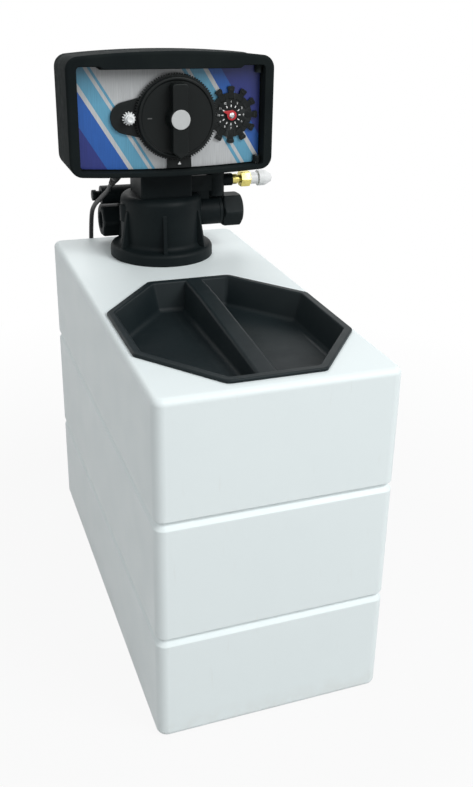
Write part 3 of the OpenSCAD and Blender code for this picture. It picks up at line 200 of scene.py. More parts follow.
class MaterialSheet(NodeSheet):
    """Short forms for wiring one material on object coordinates."""

    broad: Point = (0.3, 0.7)
    narrow: Point = (0.35, 0.65)
    proud: Point = (0.52, 0.62)
    edge_patch: float = 9.0

    def __init__(self, name: str) -> None:
        """Makes the material.

        Args:
            name: Name of the material.
        """
        self.material = bpy.data.materials.new(name)
        self.material.use_nodes = True
        super().__init__(self.material.node_tree)
        self.shader = self.tree.nodes["Principled BSDF"]
        self.place = self.node("ShaderNodeTexCoord").outputs["Object"]

    def split(self) -> bpy.types.Node:
        """A node that gives each axis of the coordinates."""
        made = self.node("ShaderNodeSeparateXYZ")
        self.feed(made.inputs[0], self.place)
        return made

    def noise(self, size: float, detail: float = 3, stretch: Colour = (1, 1, 1)) -> Socket:
        """Noise whose grains are about size millimetres wide, with a factor for each axis."""
        mapped = self.node("ShaderNodeMapping")
        self.feed(mapped.inputs["Vector"], self.place)
        mapped.inputs["Scale"].default_value = stretch
        made = self.node("ShaderNodeTexNoise")
        self.feed(made.inputs["Vector"], mapped.outputs[0])
        made.inputs["Scale"].default_value = 1 / (size * MM)
        made.inputs["Detail"].default_value = detail
        return made.outputs[0]

    def varied(self, size: float, detail: float, target: Point) -> Socket:
        """Noise of a grain size, spread over a target span."""
        return self.spread(self.noise(size, detail), self.broad, target)

    def bands(self, factor: Socket, stops: Sequence[tuple[float, Colour]]) -> Socket:
        """Plain bands of colour along a factor.

        Args:
            factor: The factor from 0 to 1.
            stops: Places along the factor where a colour starts.

        Returns:
            The colour socket.
        """
        made = self.node("ShaderNodeValToRGB")
        made.color_ramp.interpolation = "CONSTANT"
        while len(made.color_ramp.elements) < len(stops):
            made.color_ramp.elements.new(1.0)
        for element, (place, colour) in zip(made.color_ramp.elements, stops):
            element.position = place
            element.color = (*colour, 1)
        self.feed(made.inputs[0], factor)
        return made.outputs[0]

    def mix(self, factor: object, first: object, second: object) -> Socket:
        """A colour between two colours."""
        made = self.node("ShaderNodeMix", data_type="RGBA")
        self.feed(made.inputs[0], factor)
        for socket, colour in zip(made.inputs[6:8], (first, second)):
            self.feed(socket, colour if isinstance(colour, Socket) else (*colour, 1))
        return made.outputs[2]

    def worn_edges(self) -> Socket:
        """Factor that rises on proud edges, broken up in patches, for rub wear and a painted edge highlight."""
        proud = self.spread(self.node("ShaderNodeNewGeometry").outputs["Pointiness"], self.proud, (0, 1))
        return self.sum("MULTIPLY", proud, self.spread(self.noise(self.edge_patch), self.narrow, (0.1, 1)))

    def relief(self, height: Socket, depth: float) -> None:
        """Bumps the surface by a height field of a depth in millimetres."""
        made = self.node("ShaderNodeBump")
        made.inputs["Strength"].default_value = 1
        made.inputs["Distance"].default_value = depth * MM
        self.feed(made.inputs["Height"], height)
        self.feed(self.shader.inputs["Normal"], made.outputs[0])

    def dress(self, **sockets: object) -> Material:
        """Feeds the shader's sockets, named with spaces as underscores, and gives the material."""
        for key, value in sockets.items():
            self.feed(self.shader.inputs[key.replace("_", " ")], value)
        return self.material


@dataclass(frozen=True)
class Finish:
    """A finish: its name and the record's slot that it belongs to."""

    name: str
    slot: Slot

    def material(self) -> Material:
        """The finish's material, made once."""
        return bpy.data.materials.get(self.name) or self.build(MaterialSheet(self.name))

    def build(self, sheet: MaterialSheet) -> Material:
        """Wires the material of the finish."""
        raise NotImplementedError


@dataclass(frozen=True)
class MouldedPlastic(Finish):
    """Moulded plastic: clouded colour, eroded grain and paler edges, partly rub wear and partly painted highlight."""

    colour: Colour
    cloud: Colour
    rubbed: Colour
    roughness: float
    grain: float = 0.7
    grain_depth: float = 0.03
    specular: float = 0.3

    def build(self, sheet: MaterialSheet) -> Material:
        """Wires the plastic.

        Args:
            sheet: The sheet that the nodes go on.

        Returns:
            The material.
        """
        clouds = sheet.spread(sheet.noise(60, 4), sheet.narrow, (0, 1))
        body = sheet.mix(clouds, self.colour, self.cloud)
        edges = sheet.worn_edges()
        sheet.relief(sheet.noise(self.grain, 2), self.grain_depth)
        return sheet.dress(
            # Paler proud edges: partly rub wear, partly a painted highlight along the edges.
            Base_Color=sheet.mix(edges, body, self.rubbed),
            Roughness=sheet.varied(14, 3, (self.roughness - 0.03, self.roughness + 0.03)),
            Specular_IOR_Level=self.specular,
        )


@dataclass(frozen=True)
class CabinetSkin(Finish):
    """White roto-moulded skin with orange peel, faint scuffs and a little dust at the foot."""

    colour: Colour = (0.81, 0.885, 0.893)
    cloud: Colour = (0.785, 0.862, 0.873)
    dust: Colour = (0.62, 0.62, 0.58)
    foot: float = 26.0

    def build(self, sheet: MaterialSheet) -> Material:
        """Wires the skin.

        Args:
            sheet: The sheet that the nodes go on.

        Returns:
            The material.
        """
        low = sheet.spread(sheet.split().outputs["Z"], (0, self.foot * MM), (0.35, 0))
        dusty = sheet.sum("MULTIPLY", low, sheet.spread(sheet.noise(18, 5), (0.4, 0.7), (0, 1)))
        scuffs = sheet.spread(sheet.noise(5, 5, (1, 1, 0.12)), (0.66, 0.74), (0, 0.10))
        body = sheet.mix(sheet.noise(120, 3), self.colour, self.cloud)
        marked = sheet.mix(sheet.sum("MAXIMUM", dusty, scuffs), body, self.dust)
        sheet.relief(sheet.noise(2.2, 2), 0.025)
        return sheet.dress(
            Base_Color=marked,
            Roughness=sheet.varied(30, 4, (0.40, 0.52)),
            Specular_IOR_Level=0.4,
        )


@dataclass(frozen=True)
class Metal(Finish):
    """Turned or drawn metal with fine tool marks and a dulled tint."""

    colour: Colour
    dull: Colour
    roughness: float
    stretch: Colour = (0.15, 1, 1)

    def build(self, sheet: MaterialSheet) -> Material:
        """Wires the metal.

        Args:
            sheet: The sheet that the nodes go on.

        Returns:
            The material.
        """
        marks = sheet.noise(0.5, 2, self.stretch)
        tint = sheet.spread(sheet.noise(4, 4), (0.4, 0.7), (0, 1))
        sheet.relief(marks, 0.012)
        return sheet.dress(
            Base_Color=sheet.mix(tint, self.colour, self.dull),
            Metallic=1.0,
            Roughness=sheet.spread(marks, sheet.broad, (self.roughness - 0.07, self.roughness + 0.09)),
        )


@dataclass(frozen=True)
class FaceLabel(Finish):
    """Silver face sheet with slanted blue bars at two of its corners, and painted shade darkening its top for the head
    rim's shadow.
    """

    middle: float = 519.5
    fade: Point = (536.0, 577.0)
    fade_depth: float = 0.4
    slant: float = 32.0
    reach: float = 118.0
    silver: Colour = (0.50, 0.52, 0.53)
    deep: Colour = (0.022, 0.035, 0.20)
    blue: Colour = (0.018, 0.105, 0.40)
    pale: Colour = (0.11, 0.33, 0.48)

    def build(self, sheet: MaterialSheet) -> Material:
        """Wires the sheet's print and the painted shade along its top.

        Args:
            sheet: The sheet that the nodes go on.

        Returns:
            The material.
        """
        axes = sheet.split().outputs
        turn = math.radians(self.slant)
        across = sheet.sum("MULTIPLY", axes["X"], math.cos(turn))
        rise = sheet.sum("SUBTRACT", axes["Z"], self.middle * MM)
        along = sheet.sum("ADD", across, sheet.sum("MULTIPLY", rise, math.sin(turn)))
        place = sheet.spread(along, (-self.reach * MM, self.reach * MM), (0, 1))
        silver = self.silver
        bars = sheet.bands(place, [
            (0.0, self.deep), (0.125, self.blue), (0.205, silver), (0.225, self.pale), (0.285, silver),
            (0.300, self.pale), (0.312, silver), (0.660, self.pale), (0.672, silver), (0.690, self.pale),
            (0.745, silver), (0.762, self.blue), (0.820, self.deep),
        ])
        brushed = sheet.noise(0.8, 3, (1, 1, 0.03))
        sheen = sheet.spread(brushed, sheet.broad, (0.86, 1.08))
        # Painted shade: the colour darkens towards the top, standing in for the shadow of the head's rim.
        start, end = self.fade
        grey = sheet.spread(axes["Z"], (start * MM, end * MM), (1, self.fade_depth))
        shaded = sheet.node("ShaderNodeMix", data_type="RGBA", blend_type="MULTIPLY")
        shaded.inputs[0].default_value = 1
        sheet.feed(shaded.inputs[6], bars)
        sheet.feed(shaded.inputs[7], sheet.sum("MULTIPLY", sheen, grey))
        sheet.relief(brushed, 0.004)
        return sheet.dress(
            Base_Color=shaded.outputs[2],
            Metallic=0.25,
            Roughness=sheet.varied(20, 2, (0.30, 0.42)),
        )


CABINET_SKIN = CabinetSkin("white cabinet skin", Slot.CABINET_WHITE)
LID_PLASTIC = MouldedPlastic(
    "black lid plastic", Slot.LID_BLACK, (0.007, 0.012, 0.014), (0.011, 0.017, 0.019),
    (0.035, 0.045, 0.047), 0.46, 0.8, 0.035, 0.15)
VALVE_PLASTIC = MouldedPlastic(
    "black valve plastic", Slot.VALVE_BLACK, (0.005, 0.008, 0.009), (0.008, 0.012, 0.013),
    (0.028, 0.035, 0.036), 0.50, 0.9, 0.03, 0.09)
HEAD_PLASTIC = MouldedPlastic(
    "black head plastic", Slot.HEAD_BLACK, (0.008, 0.011, 0.012), (0.012, 0.016, 0.016),
    (0.034, 0.04, 0.04), 0.78, 0.6, 0.03, 0.04)
DIAL_PLASTIC = MouldedPlastic(
    "black dial plastic", Slot.DIAL_BLACK, (0.005, 0.007, 0.007), (0.008, 0.010, 0.010),
    (0.03, 0.034, 0.034), 0.42, 0.5, 0.015, 0.16)
VESSEL_SHELL = MouldedPlastic(
    "cream vessel shell", Slot.VESSEL_CREAM, (0.60, 0.53, 0.34), (0.52, 0.45, 0.28),
    (0.70, 0.65, 0.50), 0.45, 1.6, 0.06)
INNER_PLASTIC = MouldedPlastic(
    "white inner plastic", Slot.INNER_WHITE, (0.76, 0.78, 0.77), (0.70, 0.72, 0.71),
    (0.84, 0.85, 0.84), 0.42, 0.7, 0.02)
SEAL_RUBBER = MouldedPlastic(
    "dark seal rubber", Slot.SEAL_RUBBER, (0.030, 0.018, 0.013), (0.040, 0.026, 0.020),
    (0.07, 0.05, 0.045), 0.62, 0.5, 0.03)
BRASS_METAL = Metal("turned brass", Slot.BRASS, (0.74, 0.65, 0.21), (0.58, 0.50, 0.16), 0.36)
STEEL_METAL = Metal("bright steel", Slot.STEEL, (0.66, 0.67, 0.68), (0.52, 0.53, 0.54), 0.26)
FACE_PRINT_AND_SHADE = FaceLabel("silver face print and painted shade", Slot.LABEL_SILVER)
POINTER_PLASTIC = MouldedPlastic(
    "red pointer plastic", Slot.POINTER_RED, (0.50, 0.020, 0.030), (0.42, 0.016, 0.024),
    (0.65, 0.12, 0.12), 0.34, 0.5, 0.01)
CAP_PLASTIC = MouldedPlastic(
    "white cap plastic", Slot.CAP_WHITE, (0.85, 0.87, 0.87), (0.80, 0.83, 0.83),
    (0.90, 0.91, 0.91), 0.36, 0.6, 0.015)
DISC_PLASTIC = MouldedPlastic(
    "pale disc plastic", Slot.CAP_WHITE, (0.54, 0.56, 0.56), (0.49, 0.51, 0.51),
    (0.62, 0.64, 0.64), 0.42, 0.6, 0.015)
DIAL_PRINT = MouldedPlastic(
    "grey dial print", Slot.DIAL_BLACK, (0.10, 0.105, 0.105), (0.085, 0.09, 0.09),
    (0.12, 0.125, 0.125), 0.5, 0.5, 0.01, 0.1)
CORD_RUBBER = MouldedPlastic(
    "black cord sheath", Slot.CORD_BLACK, (0.010, 0.011, 0.012), (0.015, 0.016, 0.017),
    (0.04, 0.04, 0.04), 0.48, 0.8, 0.03)


def eased(corners: Sequence[Corner], steps: int = 6, closed: bool = True) -> list[Point]:
    """Rounds the corners of an outline with arcs.

    Args:
        corners: Points of the outline in order, each with the radius of its arc.
        steps: Edges along one arc.
        closed: Whether the last point joins the first.

    Returns:
        Points of the rounded outline. A corner of no radius stays one point.
    """
    points: list[Point] = []
    last = len(corners) - 1
    for i, (x, y, radius) in enumerate(corners):
        here = Vector((x, y))
        if radius <= 0 or (not closed and i in (0, last)):
            points.append((x, y))
            continue
        before = Vector(corners[i - 1][:2]) - here
        after = Vector(corners[i + 1 if i < last else 0][:2]) - here
        half = before.angle(after) / 2
        reach = min(radius / math.tan(half), 0.49 * before.length, 0.49 * after.length)
        start = here + before.normalized() * reach
        end = here + after.normalized() * reach
        centre = here + (before.normalized() + after.normalized()).normalized() * reach / math.cos(half)
        sweep = math.pi - 2 * half
        for k in range(steps + 1):
            share = k / steps
            near = math.sin((1 - share) * sweep) / math.sin(sweep)
            far = math.sin(share * sweep) / math.sin(sweep)
            point = centre + (start - centre) * near + (end - centre) * far
            points.append((point.x, point.y))
    return points


def loop_of(shape: Shape, ring: Sequence[Vector]) -> list[bmesh.types.BMEdge]:
    """Adds a closed ring of edges to a shape."""
    verts = [shape.verts.new(point) for point in ring]
    return [shape.edges.new((a, b)) for a, b in zip(verts, verts[1:] + verts[:1])]


def loft(rings: Sequence[Sequence[Vector]], capped: bool = True, closed: bool = False) -> Shape:
    """Bridges rings into a skin.

    Args:
        rings: Rings of points from one end to the other.
        capped: Whether the first and last ring are filled.
        closed: Whether the last ring is bridged to the first.

    Returns:
        The skin as a new shape.
    """
    shape = bmesh.new()
    loops = [loop_of(shape, ring) for ring in rings]
    pairs = list(zip(loops, loops[1:])) + ([(loops[-1], loops[0])] if closed else [])
    for first, second in pairs:
        bmesh.ops.bridge_loops(shape, edges=first + second)
    if capped and not closed:
        for loop in (loops[0], loops[-1]):
            bmesh.ops.edgeloop_fill(shape, edges=loop)
    bmesh.ops.recalc_face_normals(shape, faces=shape.faces)
    return shape


def turned(corners: Sequence[Corner], arc: int, at: Sequence[float], axis: Axis, steps: int) -> Shape:
    """Spins a profile round an axis.

    Args:
        corners: The profile: radius, distance along the axis and the radius of the corner's own arc.
        arc: Edges along a corner's arc.
        at: Point of the axis that the distances start from.
        axis: Direction of the axis.
        steps: Edges round the piece.

    Returns:
        The turned shape.
    """
    shape = bmesh.new()
    verts = [shape.verts.new((radius, 0, along)) for radius, along in eased(corners, arc, False)]
    edges = [shape.edges.new(pair) for pair in zip(verts, verts[1:])]
    bmesh.ops.spin(shape, geom=verts + edges, cent=(0, 0, 0), axis=(0, 0, 1), angle=2 * math.pi,
                   steps=steps, use_merge=True)
    bmesh.ops.remove_doubles(shape, verts=shape.verts, dist=NEAR)
    bmesh.ops.recalc_face_normals(shape, faces=shape.faces)
    bmesh.ops.transform(shape, matrix=Matrix.Translation(at) @ axis.matrix(), verts=shape.verts)
    return shape


def rod(radius: float, length: float, edge: float, arc: int, at: Sequence[float], axis: Axis, steps: int) -> Shape:
    """A plain turned rod whose far rim is rounded."""
    return turned([(0, 0, 0), (radius, 0, 0), (radius, length, edge), (0, length, 0)], arc, at, axis, steps)


def grip_rings(first: float, count: int, radius: float, taper: float, half: float) -> list[Corner]:
    """Profile of the grip rings on a sleeve of a cord.

    Args:
        first: Place of the first ring along the sleeve.
        count: Number of rings.
        radius: Radius of the first ring.
        taper: What each next ring is wider by.
        half: Half the width of a ring's groove, and its depth.

    Returns:
        The profile's corners.
    """
    pitch, slope, lip = 3.6, 0.2, math.copysign(0.1, taper)
    corners: list[Corner] = []
    for k in range(count):
        along, wide = first + pitch * k, radius + taper * k
        corners += [(wide, along - half, 0.4), (wide - half, along - half + slope, 0.3),
                    (wide - half, along + half - slope, 0.3), (wide + lip, along + half, 0.4)]
    return corners


def round_edges(shape: Shape, edges: Sequence[bmesh.types.BMEdge], radius: float, steps: int = 3) -> None:
    """Bevels edges to a radius."""
    bmesh.ops.bevel(shape, geom=list(edges), offset=radius, offset_type="OFFSET", segments=steps,
                    profile=0.5, affect="EDGES", clamp_overlap=True, material=-1)


def block(low: Sequence[float], high: Sequence[float], edge: float, steps: int = 3) -> Shape:
    """A block between two corners with rounded edges."""
    shape = bmesh.new()
    bmesh.ops.create_cube(shape, size=1)
    bmesh.ops.scale(shape, vec=Vector(high) - Vector(low), verts=shape.verts)
    bmesh.ops.translate(shape, vec=(Vector(high) + Vector(low)) / 2, verts=shape.verts)
    round_edges(shape, shape.edges, edge, steps)
    return shape


def plate(outline: Sequence[Point], front: float, back: float, edge: float, steps: int = 3) -> Shape:
    """An upright plate with rounded rims.

    Args:
        outline: Points in x and z.
        front: Plane y of its front.
        back: Plane y of its back.
        edge: Radius of its rims.
        steps: Edges along a rim's arc.

    Returns:
        The plate as a closed shape.
    """
    shape = bmesh.new()
    loop = loop_of(shape, [Vector((x, front, z)) for x, z in outline])
    face = bmesh.ops.edgeloop_fill(shape, edges=loop)["faces"]
    grown = bmesh.ops.extrude_face_region(shape, geom=face)["geom"]
    verts = [part for part in grown if isinstance(part, bmesh.types.BMVert)]
    bmesh.ops.translate(shape, vec=(0, back - front, 0), verts=verts)
    bmesh.ops.recalc_face_normals(shape, faces=shape.faces)
    rims = [e for e in shape.edges if abs(e.verts[0].co.y - e.verts[1].co.y) < NEAR]
    round_edges(shape, rims, edge, steps)
    return shape


def hexagon_radius(angle: float, flats: float) -> float:
    """Distance from a hexagon's middle to its outline, for its width across the flats."""
    part = math.pi / 3
    return flats / 2 / math.cos((angle + part / 2) % part - part / 2)


def hex_nut(flats: float, bore: float, start: float, end: float, y: float, z: float) -> Shape:
    """A hexagonal nut along x with turned chamfers.

    Args:
        flats: Width across its flats.
        bore: Radius of its bore.
        start: Lower end along x.
        end: Higher end along x.
        y: Place of its axis.
        z: Height of its axis.

    Returns:
        The nut as a closed shape.
    """
    steps = 96
    chamfer = flats / 14
    stop = flats / 2 + chamfer / 4

    def ring(x: float, limit: float, hexed: bool = True) -> list[Vector]:
        """A ring at x, hexagonal up to a limit or round."""
        points = []
        for k in range(steps):
            a = 2 * math.pi * k / steps
            radius = min(hexagon_radius(a, flats), limit) if hexed else limit
            points.append(Vector((x, y + radius * math.sin(a), z + radius * math.cos(a))))
        return points

    rings = [ring(start + chamfer / 3, bore, False), ring(start, bore + chamfer / 3, False),
             ring(start, stop - chamfer / 2), ring(start + chamfer / 2, stop + chamfer / 3),
             ring(start + chamfer, flats), ring(end - chamfer, flats),
             ring(end - chamfer / 2, stop + chamfer / 3), ring(end, stop - chamfer / 2),
             ring(end, bore + chamfer / 3, False), ring(end - chamfer / 3, bore, False)]
    return loft(rings, closed=True)


def mesh_of(shape: Shape, name: str) -> bpy.types.Mesh:
    """A mesh of a shape, which is freed."""
    mesh = bpy.data.meshes.new(name)
    shape.to_mesh(mesh)
    shape.free()
    return mesh


def link(name: str, data: bpy.types.ID) -> Piece:
    """A new object in the scene."""
    made = bpy.data.objects.new(name, data)
    bpy.context.scene.collection.objects.link(made)
    return made


def as_shown(thing: Piece) -> Shape:
    """The shape of an object with its modifiers applied."""
    mesh = bpy.data.meshes.new_from_object(thing.evaluated_get(bpy.context.evaluated_depsgraph_get()))
    shape = bmesh.new()
    shape.from_mesh(mesh)
    bpy.data.meshes.remove(mesh)
    return shape


def combine(shapes: Sequence[Shape], join: Join = Join.UNION) -> Shape:
    """Combines closed shapes into one skin.

    Args:
        shapes: The base shape, then those that join or cut it.
        join: How they combine.

    Returns:
        The combined shape.
    """
    spares = [link("spare", mesh_of(shape, "spare")) for shape in shapes]
    for other in spares[1:]:
        tool = spares[0].modifiers.new("join", "BOOLEAN")
        tool.operation = join.value
        tool.solver = "EXACT"
        tool.object = other
    result = as_shown(spares[0])
    for spare in spares:
        bpy.data.meshes.remove(spare.data)
    bmesh.ops.remove_doubles(result, verts=result.verts, dist=NEAR / 10)
    return result


def together(shapes: Sequence[Shape]) -> Shape:
    """Puts shapes that stay apart into one shape."""
    result = bmesh.new()
    for shape in shapes:
        mesh = mesh_of(shape, "spare")
        result.from_mesh(mesh)
        bpy.data.meshes.remove(mesh)
    return result


def merged_copy(node: str) -> Shape:
    """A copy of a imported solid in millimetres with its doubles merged."""
    shape = bmesh.new()
    shape.from_mesh(frame["nodes"][node].data)
    bmesh.ops.scale(shape, vec=(1 / MM,) * 3, verts=shape.verts)
    bmesh.ops.remove_doubles(shape, verts=shape.verts, dist=NEAR)
    return shape


def ease_node(name: str, node: str, edge: float, finish: Finish, steps: int = 2) -> None:
    """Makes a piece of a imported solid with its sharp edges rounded.

    Args:
        name: Name of the piece.
        node: Name of the solid's node.
        edge: Radius of the edges.
        finish: Its finish.
        steps: Edges along an arc.
    """
    flat, sharp = math.radians(1), math.radians(35)
    shape = merged_copy(node)
    bmesh.ops.dissolve_limit(shape, angle_limit=flat, verts=shape.verts, edges=shape.edges)
    round_edges(shape, [e for e in shape.edges if e.is_manifold and e.calc_face_angle() > sharp], edge, steps)
    add_piece(name, shape, finish, [node])


def body_of(node: str) -> str:
    """Name of the body that a node belongs to."""
    return frame["nodes"][node]["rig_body"]


def add_piece(name: str, shape: Shape, finish: Finish, stands_for: Sequence[str], body: str = "",
              smooth: float = 38.0) -> Piece:
    """Makes a finished piece of a shape.

    Args:
        name: Name of the piece.
        shape: Its shape in millimetres, which is freed.
        finish: Its finish.
        stands_for: Nodes that it stands for.
        body: Body that it rides on, or the first node's own.
        smooth: Greatest angle in degrees that is shaded smooth.

    Returns:
        The piece.
    """
    bmesh.ops.scale(shape, vec=(MM,) * 3, verts=shape.verts)
    mesh = mesh_of(shape, name)
    mesh.polygons.foreach_set("use_smooth", [True] * len(mesh.polygons))
    mesh.set_sharp_from_angle(angle=math.radians(smooth))
    mesh.materials.append(finish.material())
    piece = link(name, mesh)
    piece.modifiers.new("even shading", "WEIGHTED_NORMAL").keep_sharp = True
    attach(piece, body or body_of(stands_for[0]))
    if stands_for:
        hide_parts(*stands_for)
    LOG.info("%s: %d faces", name, len(mesh.polygons))
    return piece


def dress_node(node: str, finish: Finish) -> None:
    """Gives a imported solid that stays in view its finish."""
    mesh = frame["nodes"][node].data
    if not mesh.materials:
        mesh.materials.append(finish.material())
    for slot in frame["nodes"][node].material_slots:
        slot.material = finish.material()
    LOG.info("%s: dressed", node)


@dataclass
class Studio:
    """Floor, soft lights and the camera at the photograph's angle."""

    eye: Place = (-0.28423, -0.91160, 0.68996)
    azimuth: float = -21.493
    elevation: float = 23.370
    roll: float = 1.747
    lens: float = 43.54
    shift: Point = (-0.03483, -0.04024)
    floor_half: float = 9.0
    floor_colour: Colour = (0.42, 0.42, 0.42)
    floor_glow: Point = (0.92, 1)
    shadow_reach: Point = (0.35, 0.9)
    room_light: float = 0.42
    lamp_aim: Place = (0, 0, 0.3)
    lamps: tuple[tuple[str, Place, float, float], ...] = (
        ("key", (1.5, -2.0, 2.4), 1.6, 72), ("fill", (-1.7, -1.9, 2.2), 1.4, 14),
        ("back", (0.2, 2.2, 2.2), 1.6, 20))

    def build(self) -> None:
        """Sets the whole stage."""
        bpy.context.scene.view_settings.view_transform = "Standard"
        self.camera()
        self.floor()
        self.world()
        for lamp in self.lamps:
            self.lamp(*lamp)

    def camera(self) -> None:
        """Makes the camera."""
        data = bpy.data.cameras.new("camera")
        data.lens = self.lens
        data.shift_x, data.shift_y = self.shift
        camera = link("camera", data)
        turn, tilt = math.radians(self.azimuth), math.radians(self.elevation)
        back = Vector((math.sin(turn) * math.cos(tilt), -math.cos(turn) * math.cos(tilt), math.sin(tilt)))
        camera.rotation_mode = "QUATERNION"
        aim = (-back).to_track_quat("-Z", "Y")
        camera.rotation_quaternion = aim @ Quaternion((0, 0, 1), math.radians(self.roll))
        camera.location = self.eye
        bpy.context.scene.camera = camera

    def floor(self) -> None:
        """Makes the plain pale floor, which keeps the object's shadow."""
        shape = bmesh.new()
        bmesh.ops.create_grid(shape, x_segments=1, y_segments=1, size=self.floor_half)
        mesh = mesh_of(shape, "floor")
        sheet = MaterialSheet("pale floor")
        sheet.dress(Base_Color=(*self.floor_colour, 1), Roughness=0.9, Specular_IOR_Level=0.1)
        distance = sheet.node("ShaderNodeVectorMath", operation="LENGTH")
        sheet.feed(distance.inputs[0], sheet.place)
        far = sheet.spread(distance.outputs["Value"], self.shadow_reach, self.floor_glow)
        both = sheet.node("ShaderNodeMixShader")
        sheet.feed(both.inputs[0], sheet.sum("MULTIPLY", sheet.shown(), far))
        sheet.feed(both.inputs[1], sheet.shader.outputs[0])
        sheet.feed(both.inputs[2], sheet.node("ShaderNodeEmission").outputs[0])
        sheet.feed(sheet.tree.nodes["Material Output"].inputs["Surface"], both.outputs[0])
        mesh.materials.append(sheet.material)
        link("floor", mesh)

    def world(self) -> None:
        """Makes the even light of the room, white where it is seen."""
        world = bpy.data.worlds.new("room")
        bpy.context.scene.world = world
        world.use_nodes = True
        sheet = NodeSheet(world.node_tree)
        room = sheet.tree.nodes["Background"].inputs
        room["Color"].default_value = (1, 1, 1, 1)
        sheet.feed(room["Strength"], sheet.spread(sheet.shown(), (0, 1), (self.room_light, 1)))

    def lamp(self, name: str, place: Place, size: float, power: float) -> None:
        """Makes a square soft box aimed at the middle of the object.

        Args:
            name: Name of the lamp.
            place: Where it hangs, in metres.
            size: Length of its side in metres.
            power: Its power in watts.
        """
        data = bpy.data.lights.new(name, "AREA")
        data.size = size
        data.energy = power
        lamp = link(name, data)
        lamp.location = place
        aim = Vector(self.lamp_aim) - Vector(place)
        lamp.rotation_mode = "QUATERNION"
        lamp.rotation_quaternion = aim.to_track_quat("-Z", "Y")


